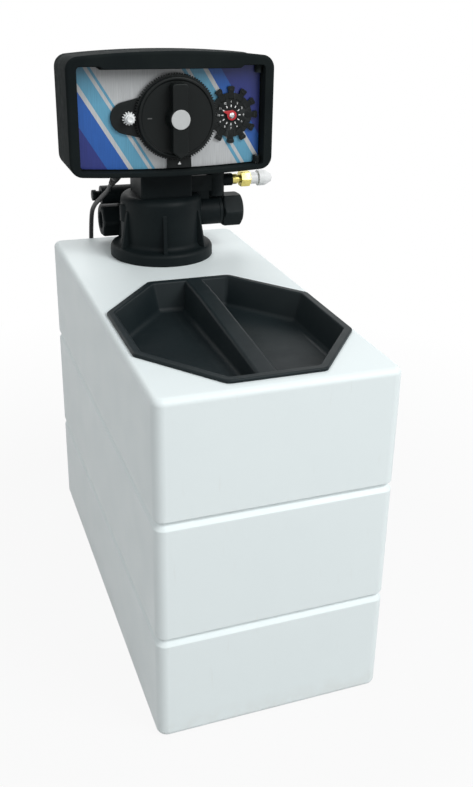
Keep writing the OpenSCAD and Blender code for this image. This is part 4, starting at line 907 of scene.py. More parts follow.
@dataclass
class MainsLead:
    """Mains cord with its strain relief, its put-away coil and its plug."""

    diameter: float = 0.0055
    length: float = 1.8
    relief_root: Place = (-0.060, 0.119, 0.457)
    relief_aim: Place = (-0.03, 0.86, -0.51)
    relief_length: float = 0.024
    bends: tuple[Place, ...] = (
        (-0.061, 0.160, 0.432), (-0.062, 0.173, 0.425), (-0.063, 0.186, 0.4185), (-0.064, 0.199, 0.412),
        (-0.065, 0.212, 0.4055), (-0.0655, 0.223, 0.399), (-0.066, 0.233, 0.391), (-0.066, 0.2405, 0.380),
        (-0.066, 0.245, 0.367), (-0.066, 0.248, 0.354), (-0.066, 0.2495, 0.342))
    drop_top: float = 0.331
    drop_step: float = 0.016
    drop_count: int = 18
    drop_at: Point = (-0.066, 0.250)
    floor_run: tuple[Place, ...] = (
        (-0.066, 0.250, 0.045), (-0.064, 0.250, 0.031), (-0.059, 0.251, 0.018), (-0.050, 0.253, 0.008),
        (-0.038, 0.255, 0.004), (-0.024, 0.257, 0.003), (-0.009, 0.258, 0.003), (0.007, 0.258, 0.003))
    coil_middle: Point = (0.030, 0.300)
    coil_inner: float = 0.023
    coil_gap: float = 0.0006
    floor_play: float = 0.00005
    coil_turns: int = 3
    loop_steps: int = 24
    plug_start: float = 0.056
    plug_half: float = 13.0
    boot_length: float = 18.0
    pin_length: float = 20.0
    pin_r: float = 2.0
    pin_half: float = 9.5
    tie_t: float = 0.8
    tie_half: float = 4.0

    def aim(self) -> Vector:
        """Direction in which the cord leaves the head."""
        return Vector(self.relief_aim).normalized()

    def route(self) -> list[Vector]:
        """Points along the cord in metres, from the strain relief to the plug."""
        leave = Vector(self.relief_root) + self.relief_length * self.aim()
        pitch = self.diameter + self.coil_gap
        low = self.diameter / 2 + self.floor_play
        x, y = self.coil_middle
        edge_y = y - self.coil_inner - self.coil_turns * pitch
        drop = [(*self.drop_at, self.drop_top - self.drop_step * i) for i in range(self.drop_count)]
        step = Vector((self.diameter, 0, 0))
        entry = Vector((x, edge_y, low)) - step
        points = [leave, leave + self.diameter * self.aim()]
        points += [Vector(p) for p in (*self.bends, *drop, *self.floor_run)]
        points += [entry - step, entry]
        turns = 2 * self.coil_turns
        for k in range(turns * self.loop_steps + 1):
            turn = k / self.loop_steps
            angle = 2 * math.pi * turn - math.pi / 2
            radius = self.coil_inner + pitch * abs(turn - self.coil_turns)
            climb = min(max((turn - self.coil_turns + 0.25) / 0.5, 0), 1)
            height = low + pitch * climb * climb * (3 - 2 * climb)
            points.append(Vector((x + radius * math.cos(angle), y + radius * math.sin(angle), height)))
        plug = Vector((self.plug_start, edge_y, low + pitch))
        return points + [plug - step, plug]

    def build(self) -> None:
        """Makes the cord and the pieces on it."""
        points = self.route()
        data = bpy.data.curves.new("mains_cord", "CURVE")
        data.dimensions = "3D"
        data.bevel_depth = self.diameter / 2
        data.bevel_resolution = 5
        data.resolution_u = 4
        data.use_fill_caps = True
        spline = data.splines.new("BEZIER")
        spline.bezier_points.add(len(points) - 1)
        for knot, point in zip(spline.bezier_points, points):
            knot.co = point
            knot.handle_left_type = knot.handle_right_type = "AUTO"
        cord = link("mains_cord", data)
        data.materials.append(CORD_RUBBER.material())
        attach(cord, body_of("power_cord"))
        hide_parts("power_cord", "cord_coil")
        LOG.info("mains_cord: %d points", len(points))
        self.relief()
        plug = self.plug(points[-1] / MM)
        pins = self.pins(points[-1] / MM)
        tie = self.tie()

    def relief(self) -> None:
        """Makes the gland under the head and its tapered, ringed strain relief."""
        length = self.relief_length / MM
        rings: list[Corner] = [(0, -5.5, 0), (4, -5.5, 2), (5.5, -2, 2)]
        rings += [*grip_rings(4.5, 5, 5.2, -0.32, 1.1), (3.5, length, 0.5), (0, length, 0)]
        sleeve = turned(rings, 3, (0, 0, 0), Axis.Z, 40)
        root = Vector(self.relief_root) / MM
        turn = self.aim().to_track_quat("Z", "Y").to_matrix().to_4x4()
        bmesh.ops.transform(sleeve, matrix=Matrix.Translation(root) @ turn, verts=sleeve.verts)
        height = Span.of("cord_gland").high.z - root.z
        collar = turned([(0, 0, 0), (5.5, 0, 0.3), (5.5, height - 3, 0.3), (8, height - 3, 0.5),
                         (8, height, 0.5), (0, height, 0)], 3, root, Axis.Z, 40)
        add_piece("ringed_gland", combine([sleeve, collar]), CORD_RUBBER, ["cord_gland"])

    def plug(self, start: Vector) -> Piece:
        """Makes the plug's boot and body.

        Args:
            start: Point in millimetres where the cord enters the boot.

        Returns:
            The plug without its pins.
        """
        span = Span.of("power_plug")
        high = Vector((span.high.x - self.pin_length + 1, start.y + self.plug_half, span.high.z))
        low = Vector((start.x + self.boot_length, start.y - self.plug_half, span.low.z))
        body = block(low, high, 4, 5)
        end = self.boot_length + 1
        profile: list[Corner] = [(0, 0, 0), (3.4, 0, 0.4), *grip_rings(3.0, 4, 3.9, 0.45, 1),
                                 (5.8, end, 0), (0, end, 0)]
        boot = turned(profile, 3, start, Axis.X, 40)
        ribs = [block((x, near, low.z + 4), (x + 2, far, high.z - 4), 0.4)
                for near, far in ((low.y - 0.01, low.y + 1), (high.y - 1, high.y + 0.01))
                for x in (low.x + 7 + 4 * k for k in range(4))]
        grooved = combine([body, *ribs], Join.DIFFERENCE)
        return add_piece("plug_body", combine([grooved, boot]), CORD_RUBBER, ["power_plug"])

    def pins(self, start: Vector) -> Piece:
        """Makes the plug's two pins.

        Args:
            start: Point in millimetres where the cord enters the boot.

        Returns:
            Both pins as one piece.
        """
        root = Span.of("power_plug").high.x - self.pin_length
        pair = [rod(self.pin_r, self.pin_length, 1.4, 5, (root, start.y + side, start.z), Axis.X, 32)
                for side in (-self.pin_half, self.pin_half)]
        return add_piece("plug_pins", together(pair), STEEL_METAL, [], body_of("power_plug"))

    def tie(self) -> Piece:
        """Makes the strap that holds the coil's turns together."""
        x, y = (part / MM for part in self.coil_middle)
        pitch = (self.diameter + self.coil_gap) / MM
        inner = self.coil_inner / MM - self.diameter / MM / 2 - 0.5
        outer = inner + self.coil_turns * pitch + self.diameter / MM + 1
        top = self.diameter / MM + pitch + 0.5
        thick, foot, bend = self.tie_t, 0.2, 3.0
        arch: list[Corner] = [(inner, foot, 0), (inner, top, bend), (outer, top, bend), (outer, foot, 0),
                              (outer + thick, foot, 0), (outer + thick, top + thick, bend + thick),
                              (inner - thick, top + thick, bend + thick), (inner - thick, foot, 0)]
        strap = loft([[Vector((x - reach, y + side, z)) for reach, z in eased(arch, 5)]
                      for side in (-self.tie_half, self.tie_half)])
        return add_piece("coil_tie", strap, VALVE_PLASTIC, [], body_of("cord_coil"))


@dataclass
class SaltCabinet:
    """White cabinet with its two grooves, and the black lid with its ridge."""

    corner_r: float = 10.5
    top_r: float = 12.0
    foot_r: float = 8.0
    wall: float = 4.0
    groove_zs: Point = (110.0, 234.0)
    groove_h: float = 8.0
    groove_depth: float = 3.5
    lid_corner_r: float = 8.0
    lid_front_edge: float = 92.0
    lid_side_edge: float = 110.0
    rim_w: float = 8.0
    rim_t: float = 3.5
    hang: float = 5.5
    tray_depth: float = 30.0
    draft: float = 9.0
    lid_wall: float = 2.5
    ridge_x: float = 4.0
    ridge_top: float = 20.0
    ridge_drop: float = 16.0
    ridge_run: float = 14.0
    crest_steps: tuple[float, ...] = (12.0, 4.0, -4.0, -12.0)
    floor_fillet: float = 7.0
    valve_hole_r: float = 34.0
    inner_edge: float = 56.0

    def build(self) -> None:
        """Makes the cabinet and the lid."""
        self.cabinet()
        self.lid()

    def ring(self, inset: float, z: float) -> list[Vector]:
        """A ring round the cabinet, drawn in by an inset at a height."""
        span = Span.of("cabinet_shell")
        x, y = span.size.x / 2 - inset, span.size.y / 2 - inset
        radius = max(self.corner_r - inset, 3)
        corners = [(x, -y, radius), (x, y, radius), (-x, y, radius), (-x, -y, radius)]
        return [Vector((px, py, z)) for px, py in eased(corners, 14)]

    def cabinet(self) -> None:
        """Makes the cabinet's skin, its hollow and the openings in its top."""
        top = Span.of("cabinet_shell").high.z
        half, depth, wall = self.groove_h / 2, self.groove_depth, self.wall
        side: list[Corner] = [(self.foot_r + 4, 0, 0), (0, 0, self.foot_r)]
        hollow: list[Corner] = [(self.foot_r + wall + 4, wall, 0), (wall, wall, self.foot_r)]
        for z in self.groove_zs:
            side += [(0, z - half, 2.0), (depth, z + half / 8, 1.2), (depth, z + half, 0.3), (0, z + half + 0.8, 1.2)]
            hollow += [(wall, z - half, 1), (depth + wall, z, 1), (depth + wall, z + half, 1), (wall, z + half + 4, 1)]
        side += [(0, top, self.top_r), (self.top_r + 1, top, 0)]
        hollow += [(wall, top - wall, self.top_r), (self.top_r + wall + 1, top - wall, 0)]
        skin = loft([self.ring(inset, z) for inset, z in eased(side, 8, False)])
        space = loft([self.ring(inset, z) for inset, z in eased(hollow, 4, False)])
        mouth = loft([[Vector((x, y, z)) for x, y in self.octagon(self.hang - 1)]
                      for z in (top - 2 * wall, top + wall)])
        socket = rod(self.valve_hole_r, 3 * wall, 0, 1, (0, VALVE_Y, top - 2 * wall), Axis.Z, 64)
        add_piece("white_cabinet", combine([skin, space, mouth, socket], Join.DIFFERENCE), CABINET_SKIN,
                  ["cabinet_shell"])

    def octagon(self, inset: float) -> list[Point]:
        """Rounded outline of the lid, drawn in by an inset."""
        span = Span.of("salt_lid")
        mid = span.mid
        width, depth = span.size.x, span.size.y
        dx, dy = (width - self.lid_front_edge) / 2, (depth - self.lid_side_edge) / 2
        slant = math.hypot(dx, dy)
        hx, hy = width / 2 - inset, depth / 2 - inset
        fx = self.lid_front_edge / 2 - inset * (slant - dx) / dy
        sy = self.lid_side_edge / 2 - inset * (slant - dy) / dx
        radius = max(self.lid_corner_r - inset * 0.2, 3)
        places = [(hx, -sy), (hx, sy), (fx, hy), (-fx, hy), (-hx, sy), (-hx, -sy), (-fx, -hy), (fx, -hy)]
        return eased([(mid.x + x, mid.y + y, radius) for x, y in places], 8)

    def wall_inset(self, z: float) -> float:
        """Inset of the tray's inner wall at a height."""
        top = Span.of("salt_lid").high.z
        return self.rim_w + self.draft * (top - z) / (self.tray_depth + self.rim_t - self.lid_wall)

    def lid(self) -> None:
        """Makes the octagonal tray and the sloping ridge between its pockets."""
        top = Span.of("salt_lid").high.z
        seat = top - self.rim_t
        under = seat - self.tray_depth
        floor = under + self.lid_wall
        deep = self.rim_w + self.draft
        side: list[Corner] = [(self.inner_edge, under, 0), (self.hang + self.draft, under, 6), (self.hang, seat, 0.5),
                              (0, seat, 0.6), (0, top, 1.8), (self.rim_w, top, 2.4),
                              (deep, floor, self.floor_fillet), (self.inner_edge, floor, 0)]
        rings = [[Vector((x, y, z)) for x, y in self.octagon(inset)] for inset, z in eased(side, 7, False)]
        shape = combine([loft(rings), self.ridge(floor, top)])
        add_piece("octagonal_lid", shape, LID_PLASTIC, ["salt_lid"], smooth=30)

    def ridge(self, floor: float, top: float) -> Shape:
        """Makes the ridge, whose foot runs out on the tray's floor.

        Args:
            floor: Height of the tray's floor.
            top: Height of the rim's top.

        Returns:
            The ridge as a closed shape.
        """
        mid, size = Span.of("salt_lid").mid, Span.of("salt_lid").size
        rear, front = mid.y + size.y / 2, mid.y - size.y / 2
        crest = rear - size.y / 6
        wall = self.lid_wall - 0.3
        half = self.ridge_top / 2
        foot = half + self.draft / 2
        out = foot + self.ridge_run
        rings = []
        stations = [rear, *(crest + step for step in self.crest_steps), front]
        for i, y in enumerate(stations):
            fall = self.ridge_drop * max(0.0, (crest - y) / (crest - front))
            fall += 0.5 if abs(y - crest) < 5 else 0
            high = top - 0.03 - fall
            corners: list[Corner] = [
                (-out, floor - 1, 0), (-out, floor + 0.02, 0), (-foot, floor + 0.05, 6), (-half, high, 4),
                (half, high, 4), (foot, floor + 0.05, 6), (out, floor + 0.02, 0), (out, floor - 1, 0)]
            ring = []
            for x, z in eased(corners, 6):
                reach = self.wall_inset(min(z, top)) - wall
                place = rear - reach if i == 0 else front + reach if i == len(stations) - 1 else y
                ring.append(Vector((self.ridge_x + x, place, z)))
            rings.append(ring)
        return loft(rings)


@dataclass
class ValveColumn:
    """Valve body on its flange, with its ports, nuts, bypass and brine valve."""

    flange_r: float = 60.0
    flange_h: float = 14.0
    flange_fillet: float = 9.0
    column_r: float = 47.0
    column_h: float = 73.0
    shoulder_r: float = 8.0
    spigot_r: float = 31.5
    neck: Point = (60.0, 56.0)
    neck_sink: float = 8.0
    rib_angles: tuple[float, ...] = (-160.0, -100.0, -40.0, 20.0, 140.0)
    rib_t: float = 4.0
    rib_drop: float = 16.0
    web_half: float = 6.0
    web_drop: float = 10.0
    web_rise: float = 12.0
    web_gap: float = 9.0
    port_half: float = 34.0
    port_h: float = 33.0
    boss_r: float = 10.0
    boss_at: Corner = (-40.0, -4.0, -30.0)
    nut_flats: float = 36.0
    nut_bore: float = 10.5
    nut_length: float = 24.0

    def build(self) -> None:
        """Makes the valve's outer pieces."""
        self.column()
        self.nuts()
        ease_node("drain_tail", "drain_tailpiece", 0.5, VALVE_PLASTIC)
        ease_node("bypass_block", "bypass_body", 1.6, VALVE_PLASTIC, 3)
        ease_node("bypass_rod", "bypass_spool", 0.8, VALVE_PLASTIC)
        ease_node("brine_valve_shell", "brine_valve_body", 0.9, VALVE_PLASTIC)

    def column(self) -> None:
        """Makes the flange, column, ribs, neck, drain arm, web and boss in one skin."""
        span = Span.of("valve_body")
        base = span.low.z
        seat = Span.of("cabinet_shell").high.z
        flange_top, column_top = seat + self.flange_h, seat + self.column_h
        profile: list[Corner] = [
            (0, 0, 0), (self.spigot_r, 0, 1), (self.spigot_r, seat - base, 0), (self.flange_r, seat - base, 0.8),
            (self.flange_r, flange_top - base, 5), (self.column_r, flange_top - base, self.flange_fillet),
            (self.column_r, column_top - base, self.shoulder_r), (0, column_top - base, 0)]
        parts = [turned(profile, 6, (0, VALVE_Y, base), Axis.Z, 96)]
        width, depth = self.neck
        parts.append(block((-width / 2, VALVE_Y - depth / 2, column_top - self.neck_sink),
                           (width / 2, VALVE_Y + depth / 2, span.high.z), 2.5))
        root, rib_top = self.column_r - 3, column_top - self.rib_drop
        outline = eased([(root, flange_top - 1, 0), (self.flange_r - 4, flange_top - 1, 0.5),
                         (self.column_r + 1, rib_top, 3), (root, rib_top, 0)], 4)
        for angle in self.rib_angles:
            rib = plate(outline, -self.rib_t / 2, self.rib_t / 2, 0.8)
            spot = Matrix.Translation((0, VALVE_Y, 0)) @ Matrix.Rotation(math.radians(angle), 4, "Z")
            bmesh.ops.transform(rib, matrix=spot, verts=rib.verts)
            parts.append(rib)
        tail = Span.of("drain_tailpiece")
        parts.append(rod(tail.size.z / 2, tail.low.x, 0.8, 3, (0, VALVE_Y, tail.mid.z), Axis.X, 64))
        parts.append(block((-self.port_half, VALVE_Y, flange_top - 1),
                           (self.port_half, Span.of("bypass_body").low.y, flange_top + self.port_h), 2))
        side, stem = Span.of("brine_valve_body"), Span.of("brine_stem").mid
        parts.append(block((width / 2 - 4, stem.y - self.web_half, column_top - self.web_drop),
                           (stem.x - self.web_gap, stem.y + self.web_half, side.low.z + self.web_rise), 1.5))
        boss: list[Corner] = [(0, 0, 0), (self.boss_r, 0, 0.8), (self.boss_r, 20, 3), (0, 23, 0)]
        parts.append(turned(boss, 5, Vector(self.boss_at) + Vector((0, VALVE_Y, column_top)), Axis.Z, 48))
        add_piece("valve_column", combine(parts), VALVE_PLASTIC, ["valve_body"], smooth=32)

    def nuts(self) -> None:
        """Makes the three union nuts."""
        span = Span.of("union_nuts")
        port = Span.of("bypass_body").mid.y, span.low.z + self.nut_flats / 2
        drain = VALVE_Y, Span.of("drain_tailpiece").mid.z
        long = self.nut_length
        nuts = [hex_nut(self.nut_flats, self.nut_bore, start, start + long, *axis) for start, axis in (
            (span.high.x - long, drain), (span.low.x, port), (-span.low.x - long, port))]
        add_piece("hex_union_nuts", together(nuts), VALVE_PLASTIC, ["union_nuts"])


@dataclass
class BrineFitting:
    """Brass fitting with its white end cap, and the brine valve's stem and spring."""

    collar_step: float = 1.4
    collar_length: float = 6.5
    stem_step: float = 2.4
    stem_length: float = 10.0
    bullet_length: float = 8.0
    bore_play: float = 0.05
    bore_depth: float = 5.0
    stem_travel: float = 6.0

    def build(self) -> None:
        """Makes the fitting's pieces."""
        self.pipe()
        nut = Span.of("brass_nut")
        bore = Span.of("brass_tube").size.z / 2 + self.bore_play
        hexagon = hex_nut(nut.size.z, bore, nut.low.x, nut.high.x, nut.mid.y, nut.mid.z)
        add_piece("brass_hexagon", hexagon, BRASS_METAL, ["brass_nut"])
        self.cap(bore)
        dress_node("brine_stem", INNER_PLASTIC)
        self.spring()

    def spring(self) -> None:
        """Makes the stem's spring as a copy of its solid, with a mesh of its own."""
        span = Span.of("brine_spring")
        coil = add_piece("stem_spring", merged_copy("brine_spring"), STEEL_METAL, ["brine_spring"])
        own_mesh(coil)

    def pipe(self) -> None:
        """Makes the brass pipe with its collar outside the socket."""
        tube = Span.of("brass_tube")
        radius, length = tube.size.z / 2, tube.size.x
        collar = Span.of("brine_valve_body").high.x - tube.low.x
        wide, far = radius + self.collar_step, collar + self.collar_length
        profile: list[Corner] = [(0, 0, 0), (radius, 0, 0.3), (radius, collar, 0), (wide, collar, 0.6),
                                 (wide, far, 0.6), (radius, far, 0.3), (radius, length, 0.4), (0, length, 0)]
        shape = turned(profile, 3, (tube.low.x, tube.mid.y, tube.mid.z), Axis.X, 40)
        add_piece("brass_pipe", shape, BRASS_METAL, ["brass_tube"])

    def cap(self, bore: float) -> None:
        """Makes the white bullet-shaped end cap.

        Args:
            bore: Radius of the bore that takes the pipe.
        """
        span = Span.of("brine_end_cap")
        radius, reach = span.size.z / 2, span.size.x
        stem, dome = radius - self.stem_step, self.stem_length
        profile: list[Corner] = [
            (0, self.bore_depth, 0), (bore, self.bore_depth, 0), (bore, 0, 0), (stem, 0, 0.6), (stem, dome, 0.5),
            (radius, dome, 0.9), (radius, dome + self.bullet_length, 6.5), (radius / 2, reach, 3.6), (0, reach, 0)]
        shape = turned(profile, 7, (span.low.x, span.mid.y, span.mid.z), Axis.X, 56)
        add_piece("bullet_cap", shape, CAP_PLASTIC, ["brine_end_cap"])


@dataclass
class TimerHead:
    """Front frame and rear cover of the head, with the panel that swings out of it."""

    corner_r: float = 14.0
    arch: float = 6.0
    bow: float = 4.0
    fall: float = 3.5
    wall: float = 3.0
    rim_r: float = 6.5
    window_bow: float = 3.5
    lip_half: float = 79.0
    lip_drop: float = 3.0
    panel_gap: float = 0.8
    neck_gap: float = 1.0
    cover_taper: float = 8.0
    cover_bend: float = 18.0
    cover_edge: float = 5.0
    screw_r: float = 4.0
    screw_head: float = 2.4

    def build(self) -> None:
        """Makes the head's pieces."""
        self.front_frame()
        self.cover()
        self.screws()
        self.label()
        ease_node("swing_panel", "timer_panel", 0.4, HEAD_PLASTIC)
        dress_node("hinge_pins", STEEL_METAL)
        dress_node("back_plate", HEAD_PLASTIC)

    def ring(self, inset: float, y: float) -> list[Vector]:
        """A ring round the head with its arched top, drawn in by an inset, at a plane y."""
        span = Span.of("head_frame")
        start = span.low.y + self.rim_r
        fall = self.fall * min(max((y - start) / (span.high.y - start), 0), 1)
        half = span.size.x / 2 - inset
        low = span.low.z + (inset / 2 if y < start else inset)
        high = span.high.z - inset - fall
        radius = max(self.corner_r - inset, 3)
        run = half - radius
        top = [(run * (1 - k / 7), high - self.arch * (run * (1 - k / 7) / half) ** 2) for k in range(1, 14)]
        foot = [(run * (k / 5 - 1), low + self.bow * (run * (k / 5 - 1) / half) ** 2) for k in range(1, 10)]
        corners: list[Corner] = [(half, low + self.bow, radius), (half, high - self.arch, radius)]
        corners += [(x, z, 0) for x, z in top]
        corners += [(-half, high - self.arch, radius), (-half, low + self.bow, radius)]
        corners += [(x, z, 0) for x, z in foot]
        return [Vector((x, y, z)) for x, z in eased(corners, 8)]

    def window_outline(self, inset: float) -> list[Point]:
        """Outline of the window with its lip, drawn in by an inset."""
        panel = Span.of("timer_panel")
        grow = self.panel_gap - inset
        half, low, top = panel.size.x / 2 + grow, panel.low.z - grow, panel.high.z + grow
        lip, drop = self.lip_half + inset, top - self.lip_drop
        corner = low + self.window_bow
        foot = [(half * k / 6, low + self.window_bow * (k / 6) ** 2, 0.0) for k in range(-5, 6)]
        corners = [(-half, corner, 4), *foot, (half, corner, 4), (half, top, 4), (lip, top, 1.5),
                   (lip - 4, drop, 1.5), (4 - lip, drop, 1.5), (-lip, top, 1.5), (-half, top, 4)]
        return eased(corners, 5)

    def valve_openings(self) -> list[Shape]:
        """Cuts in the head's underside for the valve's neck and the brine stem."""
        stem = Span.of("brine_stem")
        low = Span.of("head_frame").low.z - self.wall
        deep = 3 * self.wall + self.bow
        x, y = (side / 2 + self.neck_gap for side in ValveColumn().neck)
        hole = stem.size.x / 4 + self.neck_gap
        return [block((-x, VALVE_Y - y, low), (x, VALVE_Y + y, low + deep), 1),
                rod(hole, deep, 0, 1, (stem.mid.x, stem.mid.y, low), Axis.Z, 32)]

    def front_frame(self) -> None:
        """Makes the frame round the window."""
        span = Span.of("head_frame")
        front, back = span.low.y, span.high.y
        shelf = Span.of("timer_panel").high.y + 2
        sides = eased([(0, back, 0), (0, front, self.rim_r), (self.rim_r + 0.4, front, 0)], 9, False)
        shape = loft([self.ring(inset, y) for inset, y in sides], capped=False)
        rims = [e for e in shape.edges if e.is_boundary]
        face_loop = [e for e in rims if e.verts[0].co.y < front + 1]
        back_loop = [e for e in rims if e not in face_loop]
        openings = eased([(-1.4, front, 0), (0, front, 1.3), (0, shelf, 0)], 4, False)
        loops = [loop_of(shape, [Vector((x, y, z)) for x, z in self.window_outline(inset)])
                 for inset, y in openings]
        for first, second in zip(loops, loops[1:]):
            bmesh.ops.bridge_loops(shape, edges=first + second)
        bmesh.ops.triangle_fill(shape, edges=face_loop + loops[0], use_beauty=True)
        inner = [loop_of(shape, self.ring(self.wall, y)) for y in (shelf, back)]
        bmesh.ops.triangle_fill(shape, edges=loops[-1] + inner[0], use_beauty=True)
        bmesh.ops.bridge_loops(shape, edges=inner[0] + inner[1])
        bmesh.ops.bridge_loops(shape, edges=inner[1] + back_loop)
        bmesh.ops.recalc_face_normals(shape, faces=shape.faces)
        add_piece("head_rim", combine([shape, *self.valve_openings()], Join.DIFFERENCE), HEAD_PLASTIC,
                  ["head_frame"], smooth=32)

    def cover(self) -> None:
        """Makes the tapered rear cover with its wall."""
        span = Span.of("rear_cover")
        front, back = span.low.y, span.high.y
        straight = front + span.size.y / 3
        outside = eased([(0, front, 0), (0, straight, self.cover_bend), (self.cover_taper, back, self.cover_edge),
                         (self.cover_taper + 12, back, 0)], 7, False)
        inside = [(self.wall, front - self.wall), (self.wall, straight),
                  (self.cover_taper + self.wall, back - self.wall)]
        skin, hollow = (loft([self.ring(inset, y) for inset, y in side]) for side in (outside, inside))
        shape = combine([skin, hollow, *self.valve_openings()], Join.DIFFERENCE)
        add_piece("tapered_cover", shape, HEAD_PLASTIC, ["rear_cover"], smooth=32)

    def screws(self) -> None:
        """Makes the cover's four cross-head screws."""
        span = Span.of("cover_screws")
        heads = [cross_head(x, z, self.screw_r, span.high.y - self.screw_head, span.high.y)
                 for x in (span.low.x + self.screw_r, span.high.x - self.screw_r)
                 for z in (span.low.z + self.screw_r, span.high.z - self.screw_r)]
        add_piece("cross_head_screws", together(heads), STEEL_METAL, ["cover_screws"])

    def label(self) -> None:
        """Makes the printed face sheet."""
        span = Span.of("face_label")
        sheet = plate(self.window_outline(self.panel_gap + 0.7), span.low.y, span.high.y, 0.15, 1)
        add_piece("printed_face", sheet, FACE_PRINT_AND_SHADE, ["face_label"])


def cross_head(x: float, z: float, radius: float, start: float, end: float) -> Shape:
    """A round screw head along y with a cross recess.

    Args:
        x: Place of its axis.
        z: Height of its axis.
        radius: Radius of the head.
        start: Plane of the seat.
        end: Plane of the head's crown, on either side of the seat.

    Returns:
        The head as a closed shape.
    """
    tall = end - start
    profile: list[Corner] = [
        (0, -tall, 0), (radius / 2, -tall, 0), (radius / 2, 0, 0), (radius, 0, 0),
        (radius, tall * 0.45, abs(tall) * 0.3), (radius * 0.55, tall, radius * 0.5), (0, tall, 0)]
    head = turned(profile, 5, (x, start, z), Axis.Y, 40)
    slot, deep = radius * 0.14, end - tall * 0.45
    over = end + tall * 0.5
    low_y, high_y = min(deep, over), max(deep, over)
    reach = radius * 0.58
    bars = [block((x - a, low_y, z - b), (x + a, high_y, z + b), slot / 4, 1)
            for a, b in ((reach, slot), (slot, reach))]
    return combine([head, *bars], Join.DIFFERENCE)


@dataclass
class TimerFace:
    """Clock gears and the regeneration knob on the face."""

    knob_r: float = 43.0
    knob_t: float = 4.5
    rim_w: float = 3.0
    seat_h: float = 14.0
    tongue: Point = (1.5, 4.0)
    grip_w: float = 17.0
    disc_r: float = 10.4
    shaft_r: float = 4.0
    button_r: float = 4.0
    grip_h: float = 12.0
    face_dip: float = 1.4
    mark_rs: Point = (28.0, 33.0)
    mark_w: float = 1.2

    def build(self) -> None:
        """Makes the pieces of the main dial."""
        ease_node("keyhole_base", "dial_base", 0.9, DIAL_PLASTIC, 3)
        ease_node("toothed_clock_ring", "clock_gear", 0.18, DIAL_PLASTIC, 1)
        ease_node("white_pinion", "clock_pinion", 0.25, CAP_PLASTIC, 1)
        self.button()
        self.knob()
        self.disc()
        self.mark()
        self.arrow()

    def button(self) -> None:
        """Makes the time-set button with its dished top."""
        span = Span.of("time_set_button")
        wide, front = self.button_r, -span.size.y
        profile: list[Corner] = [(0, 0, 0), (wide, 0, 0.2), (wide, front, 0.9), (wide - 1.6, front, 0.5),
                                 (wide - 2.6, front + 0.7, 0.5), (0, front + 0.7, 0)]
        shape = turned(profile, 4, (span.mid.x, span.high.y, span.mid.z), Axis.Y, 48)
        add_piece("dished_button", shape, CAP_PLASTIC, ["time_set_button"])

    def knob(self) -> None:
        """Makes the knob: a rimmed disc, the pointed grip and the shaft with its tongue."""
        span = Span.of("regen_knob")
        disc = Span.of("knob_disc")
        x, z = disc.mid.x, disc.mid.z
        grip_front = span.low.y
        front = grip_front + self.grip_h
        back = front + self.knob_t
        rim, dip = self.knob_r - self.rim_w, self.face_dip
        profile: list[Corner] = [(0, self.knob_t, 0), (self.knob_r, self.knob_t, 0.5), (self.knob_r, 0, 1.4),
                                 (rim, 0, 0.8), (rim - 1, dip, 0.8), (0, dip, 0)]
        wheel = turned(profile, 4, (x, front, z), Axis.Y, 128)
        half = self.grip_w / 2
        top, low = z + self.knob_r - 6, z - self.knob_r + 8
        outline = eased([(x - half, top, 3.5), (x - half, low, 3), (x, z - self.knob_r + 1, 1.2), (x + half, low, 3),
                         (x + half, top, 3.5)], 6)
        grip = plate(outline, grip_front, back - 1, 2.2, 4)
        seat_profile: list[Corner] = [(0, 0, 0), (self.disc_r + 1.2, 0, 1), (self.disc_r + 3.6, self.seat_h, 0),
                                      (0, self.seat_h, 0)]
        seat = turned(seat_profile, 4, (x, grip_front, z), Axis.Y, 64)
        end = span.high.y
        shaft = rod(self.shaft_r, end - back - 1, 0.5, 3, (x, back - 1, z), Axis.Y, 40)
        high = self.shaft_r - 0.5
        thin, long = self.tongue
        tongue = block((x - thin, end - long, z - high), (x + thin, end, z + high), 0.2)
        add_piece("grip_knob", combine([wheel, grip, seat, shaft, tongue]), DIAL_PLASTIC, ["regen_knob"], smooth=32)

    def disc(self) -> None:
        """Makes the white disc on the knob."""
        span = Span.of("knob_disc")
        shape = rod(self.disc_r, -span.size.y, 0.4, 4, (span.mid.x, span.high.y, span.mid.z), Axis.Y, 64)
        add_piece("white_disc", shape, DISC_PLASTIC, ["knob_disc"])

    def mark(self) -> None:
        """Makes the grey position mark on the knob's face."""
        disc = Span.of("knob_disc").mid
        face = Span.of("regen_knob").low.y + self.grip_h + self.face_dip
        near, far = self.mark_rs
        half = self.mark_w / 2
        left, right = disc.x - far, disc.x - near
        bar = eased([(left, disc.z - half, 0.3), (right, disc.z - half, 0.3), (right, disc.z + half, 0.3),
                     (left, disc.z + half, 0.3)], 3)
        add_piece("knob_mark", plate(bar, face - 0.12, face + 0.3, 0.05, 1), DIAL_PRINT, [], body_of("regen_knob"))

    def arrow(self) -> None:
        """Makes the small white arrow on the base's tab."""
        base = Span.of("dial_base")
        x = Span.of("knob_disc").mid.x + 4
        z = base.low.z + 4
        front = Span.of("clock_gear").high.y + 0.3
        mark = plate([(x - 2, z), (x + 2, z), (x, z + 3.4)], front - 0.15, front + 0.2, 0.05, 1)
        add_piece("time_arrow", mark, CAP_PLASTIC, [], body_of("dial_base"))


